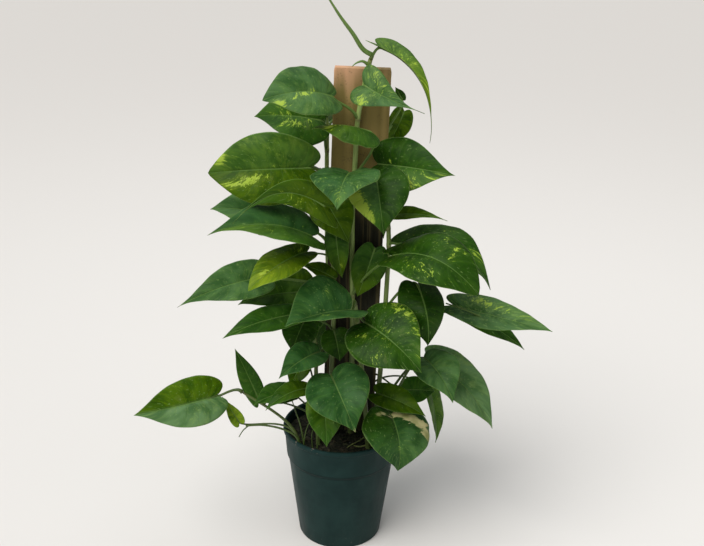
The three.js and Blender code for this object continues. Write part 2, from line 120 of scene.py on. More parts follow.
class Wires:
    """Nodes of one material or group, added and joined up in one go."""

    def __init__(self, tree):
        self.tree = tree

    def feed(self, value, socket):
        self.tree.links.new(value, socket)

    def node(self, kind, values=None, **settings):
        node = self.tree.nodes.new(kind)
        for name, value in settings.items():
            setattr(node, name, value)
        for name, value in (values or {}).items():
            if isinstance(value, bpy.types.NodeSocket):
                self.feed(value, node.inputs[name])
            else:
                node.inputs[name].default_value = value
        return node

    def math(self, operation, first, second=0.0):
        return self.node("ShaderNodeMath", {0: first, 1: second}, operation=operation).outputs[0]

    def plus(self, first, second):
        return self.math("ADD", first, second)

    def minus(self, first, second):
        return self.math("SUBTRACT", first, second)

    def times(self, first, second):
        return self.math("MULTIPLY", first, second)

    def span(self, value, low, high, to_low=0.0, to_high=1.0):
        """Value taken smoothly from low..high to to_low..to_high, and held beyond them."""
        values = {"Value": value, "From Min": low, "From Max": high, "To Min": to_low, "To Max": to_high}
        return self.node("ShaderNodeMapRange", values, interpolation_type="SMOOTHSTEP").outputs[0]

    def blend(self, share, first, second, blend_type="MIX"):
        values = {0: share, 6: colour(first), 7: colour(second)}
        return self.node("ShaderNodeMix", values, data_type="RGBA", blend_type=blend_type).outputs[2]

    def tint(self, base, amounts):
        """The base colour with each of its three channels multiplied."""
        return self.blend(1.0, base, amounts, "MULTIPLY")

    def noise(self, vector, scale, detail=2.0, roughness=0.5, distortion=0.0):
        values = {"Vector": vector, "Scale": scale, "Detail": detail, "Roughness": roughness,
                  "Distortion": distortion}
        return self.node("ShaderNodeTexNoise", values).outputs[0]

    def cells(self, vector, scale):
        return self.node("ShaderNodeTexVoronoi", {"Vector": vector, "Scale": scale}).outputs[0]

    def stretch(self, vector, amounts):
        return self.node("ShaderNodeVectorMath", {0: vector, 1: amounts}, operation="MULTIPLY").outputs[0]

    def parts(self, vector):
        return self.node("ShaderNodeSeparateXYZ", {0: vector}).outputs

    def attribute(self, name, output="Vector"):
        node = self.node("ShaderNodeAttribute", attribute_name=name, attribute_type="GEOMETRY")
        return node.outputs[output]

    def place(self):
        return self.node("ShaderNodeTexCoord").outputs["Object"]

    def relief(self, height, distance, strength=1.0):
        values = {"Height": height, "Distance": distance, "Strength": strength}
        return self.node("ShaderNodeBump", values).outputs[0]

    def group(self, tree, values):
        return self.node("ShaderNodeGroup", values, node_tree=tree).outputs


def colour(value):
    return (*value, 1.0) if isinstance(value, tuple) and len(value) == 3 else value


def new_material(name, specular, **constants):
    """A material and its wires; constants go straight onto the shader's sockets."""
    finish = bpy.data.materials.new(name)
    finish.use_nodes = True
    shader = finish.node_tree.nodes["Principled BSDF"]
    shader.inputs["Specular IOR Level"].default_value = specular
    for socket, value in constants.items():
        shader.inputs[socket.replace("_", " ")].default_value = value
    return finish, Wires(finish.node_tree)


def dress(finish, base, roughness, normal):
    """Gives a material's shader the three things that vary over its surface."""
    shader = finish.node_tree.nodes["Principled BSDF"]
    for socket, value in (("Base Color", base), ("Roughness", roughness), ("Normal", normal)):
        finish.node_tree.links.new(value, shader.inputs[socket])
    return finish


def new_group(name, inputs, outputs):
    tree = bpy.data.node_groups.new(name, "ShaderNodeTree")
    for label, kind in inputs.items():
        tree.interface.new_socket(name=label, in_out="INPUT", socket_type="NodeSocket" + kind)
    for label in outputs:
        tree.interface.new_socket(name=label, in_out="OUTPUT", socket_type="NodeSocketFloat")
    source = tree.nodes.new("NodeGroupInput").outputs
    sink = tree.nodes.new("NodeGroupOutput").inputs
    return tree, Wires(tree), source, sink


def leaf_marks_group():
    """Streaks, feathering and flecks that run along a leaf's side veins, and the veins themselves.
    Place is where on the rib the point's side vein starts, in hundredths of the blade, how far the
    point is from the rib in millimetres, and a number that is the leaf's own."""
    tree, w, source, sink = new_group("leaf_marks",
                                      {"Place": "Vector", "Splash": "Float", "Fleck": "Float"},
                                      ["Streak", "Halo", "Fleck", "Vein", "Cloud", "Feather"])
    place, splash = source["Place"], source["Splash"]

    def drawn_out(along, across, detail, roughness=0.5, distortion=0.0, apart=1.0):
        return w.noise(w.stretch(place, (along, across, apart)), 1.0, detail, roughness, distortion)

    streaks = drawn_out(0.27, 0.11, 5.0, 0.68, 0.9)
    fine = drawn_out(1.3, 0.45, 3.0, 0.6)
    grown = w.plus(w.times(streaks, 1.7), w.times(fine, 0.6))
    level = w.plus(w.minus(grown, 1.56), w.times(splash, 0.64))
    w.feed(w.span(level, -0.03, 0.08), sink["Streak"])
    w.feed(w.span(level, -0.30, 0.04), sink["Halo"])
    spots = w.plus(drawn_out(0.42, 0.34, 2.0, 0.6), w.times(source["Fleck"], 0.22))
    w.feed(w.span(spots, 0.66, 0.76), sink["Fleck"])
    beat = w.math("FRACT", w.times(w.parts(place)[0], SIDE_VEINS / 100))
    w.feed(w.span(w.math("ABSOLUTE", w.minus(beat, 0.5)), 0.40, 0.5), sink["Vein"])
    w.feed(drawn_out(0.07, 0.05, 2.0), sink["Cloud"])
    feather = w.plus(drawn_out(0.17, 0.055, 4.0, 0.62, 0.5, apart=0.7), w.times(splash, 0.22))
    w.feed(w.span(feather, 0.47, 0.72), sink["Feather"])
    return tree


def grain_group():
    """Fibres that run along one way of a piece: timber, stem and stalk."""
    tree, w, source, sink = new_group("long_grain",
                                      {"Place": "Vector", "Spacing": "Vector", "Contrast": "Float"},
                                      ["Fibre", "Band"])
    spread = w.stretch(source["Place"], source["Spacing"])
    fibre = w.noise(spread, 1.0, 5.0, 0.65, 0.3)
    low, high = w.minus(0.5, source["Contrast"]), w.plus(0.5, source["Contrast"])
    w.feed(w.span(fibre, low, high), sink["Fibre"])
    w.feed(w.noise(w.stretch(spread, (0.23, 0.23, 0.5)), 1.0, 2.0, 0.5, 0.8), sink["Band"])
    return tree


def speck_group():
    """Scattered specks of dust or grit."""
    tree, w, source, sink = new_group("specks", {"Place": "Vector", "Scale": "Float", "Share": "Float"},
                                      ["Speck"])
    near = w.cells(source["Place"], source["Scale"])
    sparse = w.noise(source["Place"], w.times(source["Scale"], 0.31), 3.0, 0.6)
    chance = w.plus(w.minus(sparse, 0.62), w.times(source["Share"], 0.3))
    w.feed(w.span(w.minus(w.times(chance, 2.2), near), -0.05, 0.06), sink["Speck"])
    return tree


# ---------------------------------------------------------------- finishes

SIDE_VEINS = 10.5

LIME = (0.36, 0.49, 0.055)
LIME_FLECK = (0.17, 0.27, 0.075)
CREAM = (0.52, 0.47, 0.24)
CREAM_SHADE = (0.24, 0.25, 0.085)
RIB_GREEN = (0.13, 0.23, 0.055)
VEIN_GREEN = (0.075, 0.150, 0.028)
MARGIN_GREEN = (0.16, 0.25, 0.07)
UNDER_GREEN = (0.085, 0.150, 0.035)


def blade_finish(name, marks_group, upper):
    """Leaf blade. Its colour comes from the leaf's own green, and its marks follow the side veins."""
    finish, w = new_material(name, 0.07 if upper else 0.05, Subsurface_Weight=0.12,
                             Subsurface_Radius=(0.6, 1.0, 0.25), Subsurface_Scale=0.003)
    place = w.attribute("leaf_place")
    lime, cream, flecks = w.parts(w.attribute("leaf_marks"))
    outward, along, _ = w.parts(w.attribute("leaf_share"))
    green = w.attribute("leaf_green", "Color")
    seen = w.group(marks_group, {"Place": place, "Splash": lime, "Fleck": flecks})

    deep, light = w.tint(green, (0.56, 0.65, 0.50)), w.tint(green, (1.25, 1.15, 1.15))
    base = w.blend(w.span(seen["Cloud"], 0.34, 0.64), deep, light)
    base = w.blend(w.times(seen["Vein"], 0.10), base, VEIN_GREEN)
    base = w.blend(w.times(seen["Feather"], 0.42), base, w.tint(green, (2.3, 1.75, 1.2)))
    base = w.blend(w.times(seen["Halo"], 0.55), base, w.tint(green, (2.4, 1.8, 1.5)))
    base = w.blend(w.times(seen["Fleck"], 0.45), base, LIME_FLECK)
    base = w.blend(w.times(seen["Streak"], 0.75), base, LIME)
    broken = w.plus(cream, w.times(w.minus(seen["Feather"], 0.5), 0.85))
    creamy = w.blend(w.span(seen["Cloud"], 0.35, 0.65), CREAM, CREAM_SHADE)
    base = w.blend(w.span(broken, 0.38, 0.72), base, creamy)

    from_rib = w.math("ABSOLUTE", w.parts(place)[1])
    rib_width = w.minus(1.9, w.times(along, 1.35))
    rib = w.span(w.math("DIVIDE", from_rib, rib_width), 1.0, 0.45)
    base = w.blend(w.times(rib, 0.55), base, RIB_GREEN)
    base = w.blend(w.times(w.span(outward, 0.965, 1.0), 0.5), base, MARGIN_GREEN)
    if not upper:
        base = w.blend(0.55, base, UNDER_GREEN)

    skin = w.noise(w.stretch(place, (1.3, 1.3, 1.0)), 1.0, 3.0, 0.6)
    rough = w.span(skin, 0.3, 0.7, 0.32, 0.46) if upper else w.span(skin, 0.3, 0.7, 0.50, 0.62)
    height = w.minus(w.times(skin, 0.25), w.times(seen["Vein"], 0.7))
    height = w.minus(height, w.times(rib, 1.2))
    return dress(finish, base, rough, w.relief(height, 0.00025 if upper else 0.0005, 0.7))


def stalk_finish(name, grain, light, dark, brown):
    """Stem or leaf stalk: fine ribs along it, lighter and darker runs, brown at its joints, and painted
    shade that darkens it low down among the leaves."""
    finish, w = new_material(name, 0.3)
    place = w.attribute("leaf_place")
    ribs = w.group(grain, {"Place": place, "Spacing": (1.1, 0.06, 1.0), "Contrast": 0.2})
    browning = w.parts(w.attribute("leaf_share"))[0]
    base = w.blend(ribs["Fibre"], dark, light)
    base = w.blend(w.span(ribs["Band"], 0.45, 0.75, 0.0, 0.45), base, (0.10, 0.19, 0.03))
    base = w.blend(w.times(browning, 0.9), base, brown)
    # Painted shade: stems and stalks go dark olive low down among the leaves.
    painted_shade_low_down = w.span(w.parts(w.place())[2], 0.46, 0.24)
    base = w.blend(w.times(painted_shade_low_down, 0.75), base, (0.030, 0.045, 0.010))
    return dress(finish, base, w.span(ribs["Band"], 0.3, 0.7, 0.36, 0.55),
                 w.relief(ribs["Fibre"], 0.0002, 0.5))


def root_finish(name, light, dark):
    finish, w = new_material(name, 0.3)
    tone = w.noise(w.place(), 220.0, 3.0, 0.6)
    return dress(finish, w.blend(w.span(tone, 0.35, 0.65), dark, light),
                 w.span(tone, 0.3, 0.7, 0.7, 0.9), w.relief(tone, 0.0003, 0.6))


def pot_finish(specks):
    """Dark teal moulded plastic, dusty at the rim, splashed with soil low down, painted shade under the
    collar.
    """
    finish, w = new_material("pot_teal_plastic", 0.08)
    place = w.place()
    height = w.parts(place)[2]
    cloud = w.noise(place, 26.0, 4.0, 0.6)
    base = w.blend(w.span(cloud, 0.3, 0.7), (0.0065, 0.0225, 0.0210), (0.0110, 0.0335, 0.0305))
    # Painted shade: a thin dark band on the step under the collar, which faces down.
    painted_shade_under_collar = w.times(w.span(height, 0.1150, 0.1162), w.span(height, 0.1222, 0.1206))
    base = w.blend(w.times(painted_shade_under_collar, 0.35), base, (0.0010, 0.0045, 0.0040))
    dust = w.group(specks, {"Place": place, "Scale": 420.0, "Share": 0.45})
    near_rim, near_foot = w.span(height, 0.150, 0.1595), w.span(height, 0.03, 0.0)
    dusty = w.plus(w.times(near_rim, 0.8), w.times(near_foot, 0.35))
    base = w.blend(w.times(dust["Speck"], dusty), base, (0.16, 0.14, 0.11))
    film = w.noise(w.stretch(place, (1, 1, 0.25)), 60.0, 3.0, 0.55)
    base = w.blend(w.span(film, 0.5, 0.8, 0.0, 0.05), base, (0.10, 0.12, 0.11))
    return dress(finish, base, w.span(film, 0.3, 0.75, 0.42, 0.58),
                 w.relief(w.noise(place, 900.0, 2.0, 0.5), 0.00006, 0.35))


def soil_finish(specks):
    """Moist dark mix with olive grit and a few grey crumbs."""
    finish, w = new_material("soil_dark_mix", 0.25)
    place = w.place()
    crumb = w.noise(place, 260.0, 6.0, 0.7)
    base = w.blend(w.span(crumb, 0.35, 0.65), (0.0030, 0.0040, 0.0020), (0.016, 0.0180, 0.0080))
    grit = w.group(specks, {"Place": place, "Scale": 300.0, "Share": 0.5})
    base = w.blend(w.times(grit["Speck"], 0.8), base, (0.070, 0.075, 0.036))
    pale = w.group(specks, {"Place": place, "Scale": 170.0, "Share": 0.2})
    base = w.blend(w.times(pale["Speck"], 0.7), base, (0.16, 0.17, 0.18))
    return dress(finish, base, w.span(crumb, 0.3, 0.7, 0.95, 0.7), w.relief(crumb, 0.0012, 0.9))


def bark_finish(grain):
    finish, w = new_material("soil_bark_chips", 0.3)
    place = w.place()
    fibre = w.group(grain, {"Place": place, "Spacing": (260.0, 260.0, 900.0), "Contrast": 0.2})
    piece_tone = w.noise(place, 75.0, 1.0, 0.4)
    base = w.blend(w.span(piece_tone, 0.40, 0.62), (0.0045, 0.0048, 0.0024), (0.024, 0.021, 0.010))
    base = w.blend(w.times(fibre["Fibre"], 0.35), base, (0.060, 0.048, 0.028))
    return dress(finish, base, w.span(fibre["Band"], 0.3, 0.7, 0.9, 0.65),
                 w.relief(fibre["Fibre"], 0.0004, 0.6))


def timber_finish(grain, specks):
    """Rough-sawn board with grain and grit: a pale top painted as lit, with painted shade in an olive
    middle, a near-black lower part and a darker right side.
    """
    finish, w = new_material("board_rough_sawn", 0.25)
    place = w.place()
    across, _, height = w.parts(place)
    fibre = w.group(grain, {"Place": place, "Spacing": (700.0, 700.0, 18.0), "Contrast": 0.30})
    rings = w.group(grain, {"Place": place, "Spacing": (150.0, 90.0, 3.0), "Contrast": 0.1})
    wander = w.minus(rings["Band"], 0.5)
    # Painted light and shade: the pale tan top, as lit, darkening towards the board's right side; the ring
    # and fibre marks in it are the wood's own grain.
    painted_shade_to_right = w.plus(w.times(across, 9.0), wander)
    painted_lit_top = w.blend(w.span(painted_shade_to_right, -0.1, 0.35), (0.620, 0.345, 0.200), (0.300, 0.200, 0.085))
    painted_lit_top = w.blend(w.times(fibre["Fibre"], 0.16), painted_lit_top, (0.300, 0.170, 0.090))
    # Painted shade: the olive middle, where the leaves shade the board, with the wood's own ring tone and
    # fibres in it.
    painted_shade_middle = w.blend(w.span(rings["Band"], 0.4, 0.65), (0.175, 0.132, 0.036), (0.290, 0.215, 0.070))
    painted_shade_middle = w.blend(w.times(fibre["Fibre"], 0.22), painted_shade_middle, (0.095, 0.075, 0.020))
    # Painted shade: the near-black lower part among the leaves; the ring noise in it is the wood's own
    # tone.
    painted_deep_shade = w.blend(w.span(rings["Fibre"], 0.3, 0.9), (0.010, 0.010, 0.0040), (0.060, 0.050, 0.020))
    # How lit each point is painted: darker lower down and further right.
    painted_light_level = w.minus(w.plus(height, w.times(wander, 0.10)), w.times(across, 0.35))
    base = w.blend(w.span(painted_light_level, 0.635, 0.590), painted_lit_top, painted_shade_middle)
    base = w.blend(w.span(painted_light_level, 0.490, 0.430), base, painted_deep_shade)
    grit = w.group(specks, {"Place": place, "Scale": 330.0, "Share": 0.55})
    base = w.blend(w.times(grit["Speck"], 0.25), base, (0.040, 0.032, 0.018))
    return dress(finish, base, w.span(fibre["Fibre"], 0.2, 0.8, 0.92, 0.72),
                 w.relief(w.plus(fibre["Fibre"], rings["Fibre"]), 0.0003, 0.3))


# ---------------------------------------------------------------- shaping

def deselect():
    bpy.ops.object.select_all(action="DESELECT")


def pick(piece):
    deselect()
    piece.select_set(True)
    bpy.context.view_layer.objects.active = piece


def edit_all(piece, *operations):
    """Runs the operations in edit mode on the whole piece."""
    pick(piece)
    bpy.ops.object.mode_set(mode="EDIT")
    select_whole()
    for operation in operations:
        operation()
    bpy.ops.object.mode_set(mode="OBJECT")


def merge_doubles():
    bpy.ops.mesh.remove_doubles(threshold=1e-6)


def select_whole():
    bpy.ops.mesh.select_all(action="SELECT")


def face_outwards():
    bpy.ops.mesh.normals_make_consistent(inside=False)


def close_open_ends():
    bpy.ops.mesh.select_all(action="DESELECT")
    bpy.ops.mesh.select_non_manifold()
    bpy.ops.mesh.edge_face_add()


def apply_modifier(piece, kind, **settings):
    pick(piece)
    modifier = piece.modifiers.new(kind.lower(), kind)
    for name, value in settings.items():
        setattr(modifier, name, value)
    bpy.ops.object.modifier_apply(modifier=modifier.name)


def smooth_but_crisp(piece, degrees):
    """Smooth shading that keeps edges sharper than the angle."""
    pick(piece)
    bpy.ops.object.shade_smooth_by_angle(angle=math.radians(degrees))


def give_finishes(piece, finishes):
    for finish in finishes:
        piece.data.materials.append(finish)


def join_pieces(pieces, name):
    deselect()
    for piece in pieces:
        piece.select_set(True)
    bpy.context.view_layer.objects.active = pieces[0]
    bpy.ops.object.join()
    whole = bpy.context.object
    whole.name = name
    whole.data.name = name
    return whole


def point_places(mesh):
    """Where the mesh's points are, as rows of three numbers."""
    flat = np.zeros(len(mesh.vertices) * 3, np.float32)
    mesh.vertices.foreach_get("co", flat)
    return flat.reshape(-1, 3)


def bent_grid(name, places):
    """A flat grid, one point of it taken to each of the places[row][column], in millimetres."""
    rows, columns = places.shape[0] - 1, places.shape[1] - 1
    deselect()
    bpy.ops.mesh.primitive_grid_add(x_subdivisions=columns, y_subdivisions=rows, size=2, calc_uvs=True)
    sheet = bpy.context.object
    sheet.name = name
    flat = point_places(sheet.data)
    column = np.rint((flat[:, 0] + 1) / 2 * columns).astype(int)
    row = np.rint((flat[:, 1] + 1) / 2 * rows).astype(int)
    sheet.data.vertices.foreach_set("co", (places[row, column] * MM).astype(np.float32).ravel())
    return sheet, row, column


def give_attribute(piece, name, first, second, third):
    """Three numbers a point; a name that ends in green is a colour."""
    values = np.stack(np.broadcast_arrays(first, second, third), axis=-1)
    if name.endswith("green"):
        layer = piece.data.attributes.new(name, "FLOAT_COLOR", "POINT")
        full = np.concatenate([values, np.ones((len(values), 1))], axis=1)
        layer.data.foreach_set("color", full.astype(np.float32).ravel())
    else:
        layer = piece.data.attributes.new(name, "FLOAT_VECTOR", "POINT")
        layer.data.foreach_set("vector", values.astype(np.float32).ravel())


def finish_piece(piece, node):
    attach(piece, "root")
    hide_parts(node)


# ---------------------------------------------------------------- routes and tubes

def unit(vector):
    vector = np.asarray(vector, float)
    return vector / max(np.linalg.norm(vector), 1e-12)


def lengths_along(route):
    """How far along the route each of its places is."""
    return np.concatenate([[0], np.cumsum(np.linalg.norm(np.diff(route, axis=0), axis=1))])


def even_route(dense, spacing):
    lengths = lengths_along(dense)
    steps = max(2, int(round(lengths[-1] / spacing)))
    at = np.linspace(0, lengths[-1], steps + 1)
    return np.stack([np.interp(at, lengths, dense[:, axis]) for axis in range(3)], axis=1)


def smooth_route(points, spacing):
    """Places about spacing apart on a smooth curve through the points."""
    steps_between_points = 24
    points = [np.asarray(p, float) for p in points]
    ends = [2 * points[0] - points[1], *points, 2 * points[-1] - points[-2]]
    dense = []
    for i in range(len(points) - 1):
        before, start, end, after = ends[i:i + 4]
        gaps = [max(np.linalg.norm(b - a) ** 0.5, 1e-6) for a, b in
                ((before, start), (start, end), (end, after))]
        leaving = ((start - before) / gaps[0] - (end - before) / (gaps[0] + gaps[1])
                   + (end - start) / gaps[1]) * gaps[1]
        arriving = ((end - start) / gaps[1] - (after - start) / (gaps[1] + gaps[2])
                    + (after - end) / gaps[2]) * gaps[1]
        for t in np.linspace(0, 1, steps_between_points, endpoint=False):
            dense.append(start + leaving * t + (3 * (end - start) - 2 * leaving - arriving) * t ** 2
                         + (2 * (start - end) + leaving + arriving) * t ** 3)
    dense.append(points[-1])
    return even_route(np.array(dense), spacing)


def bezier(points, share):
    a, b, c, d = (np.asarray(p, float) for p in points)
    t = share[:, None]
    return a * (1 - t) ** 3 + 3 * b * t * (1 - t) ** 2 + 3 * c * t ** 2 * (1 - t) + d * t ** 3


def sides_along(route, first_side):
    """For each place on the route, two sides of it that don't twist."""
    ways = np.gradient(route, axis=0)
    ways /= np.linalg.norm(ways, axis=1, keepdims=True)
    side = np.asarray(first_side, float)
    sides = []
    for way in ways:
        side = unit(side - way * np.dot(side, way))
        sides.append(side)
    sides = np.array(sides)
    return sides, np.cross(ways, sides)


def once_round(around):
    return np.linspace(0, math.tau, around + 1)


def make_tube(name, route, radii, section, first_side, finishes, slot, wrap=2.0, seed=1.0, brown=0.0):
    """A closed tube along a route in millimetres. The section is the share of the radius at each turn
    round it, in one row or in one for each place. Its patterns are wrap millimetres a radian wide."""
    turns = once_round(section.shape[-1] - 1)
    side_a, side_b = sides_along(route, first_side)
    reach = radii[:, None] * section
    rings = (route[:, None, :] + (reach * np.cos(turns))[..., None] * side_a[:, None, :]
             + (reach * np.sin(turns))[..., None] * side_b[:, None, :])
    start, end = (np.repeat(tip, len(turns), axis=0)[None] for tip in (route[:1], route[-1:]))
    tube, row, column = bent_grid(name, np.concatenate([start, rings, end]))
    place = np.clip(row - 1, 0, len(route) - 1)
    along = lengths_along(route)[place]
    browning = np.broadcast_to(brown, len(route))[place]
    give_attribute(tube, "leaf_place", turns[column] * wrap, along, seed)
    give_attribute(tube, "leaf_share", browning, along / along.max(), 0.0)
    give_finishes(tube, finishes)
    edit_all(tube, merge_doubles)
    tube.data.polygons.foreach_set("material_index", np.full(len(tube.data.polygons), slot, np.int32))
    return tube


# ---------------------------------------------------------------- leaves

HALF_OUTLINE = np.array([
    [0, 0], [-0.07, 0.12], [-0.12, 0.34], [-0.09, 0.6], [0.03, 0.84], [0.19, 0.98],
    [0.36, 0.99], [0.54, 0.85], [0.7, 0.59], [0.84, 0.29], [0.94, 0.09], [1, 0],
])
BLADE_ROWS = 44
HALF_COLUMNS = [0.03, 0.08, 0.16, 0.27, 0.40, 0.54, 0.68, 0.81, 0.92, 1.0]
ROW_CROWDING = 1.7
BLADE_THICKNESS = 0.7
EDGE_THICKNESS_SHARE = 0.4

# Relief of a blade of full width or more, in millimetres; a narrower one has less of it.
FULL_WIDTH = 60
QUILTING = 0.28
RIB_DEPTH = 0.55
RIB_HALF_WIDTH = 1.5
MARGIN_CRIMP = 0.45
TIP_CURL = 1.6

# Slow bends of a blade, as shares of its half width.
CUPPING = 0.28
MARGIN_RIPPLE = 0.05

# The finishes of a leafy stem, in the order that its pieces are given them.
UPPER_SIDE, UNDERSIDE, STALK, STEM, ROOT, ROLLED_LEAF = range(6)

# A stem has the radius of its foot, its route, its leaves, and its twigs: thin bare side shoots, each
# (route, radius at its start, radius at its end, finish). The tallest stem also has its spear, the new
# leaf that is still rolled up.
# A leaf is its shape and then its look. The shape starts with the height of its node on the stem. The
# look is its greens, how much yellow-green its two halves have, how many flecks, and its splashes, of
# lime and then of cream, each (out, along, reach out, reach along, strength) as shares of the blade.
# Greens are written one half / other half, and each as base > tip.
Leaf = namedtuple("Leaf", "height base tip up width arch fold sweep taper", defaults=(0, 0))
Look = namedtuple("Look", "greens halves flecks lime cream", defaults=((), ()))

# The greens "blue" and "pale" are leaf greens with painted sky reflection in them, bluer and lighter as the
# sheen on a leaf's upper side; a leaf given one on one half only has that sheen painted on that half.
GREENS = {
    "deep": (0.015, 0.051, 0.0030),
    "leaf": (0.025, 0.077, 0.0080),
    "warm": (0.041, 0.092, 0.0020),
    "fresh": (0.050, 0.116, 0.0160),
    "cool": (0.026, 0.082, 0.0210),
    "blue": (0.050, 0.120, 0.0360),
    "pale": (0.088, 0.174, 0.0700),
    "young": (0.110, 0.190, 0.0100),
}

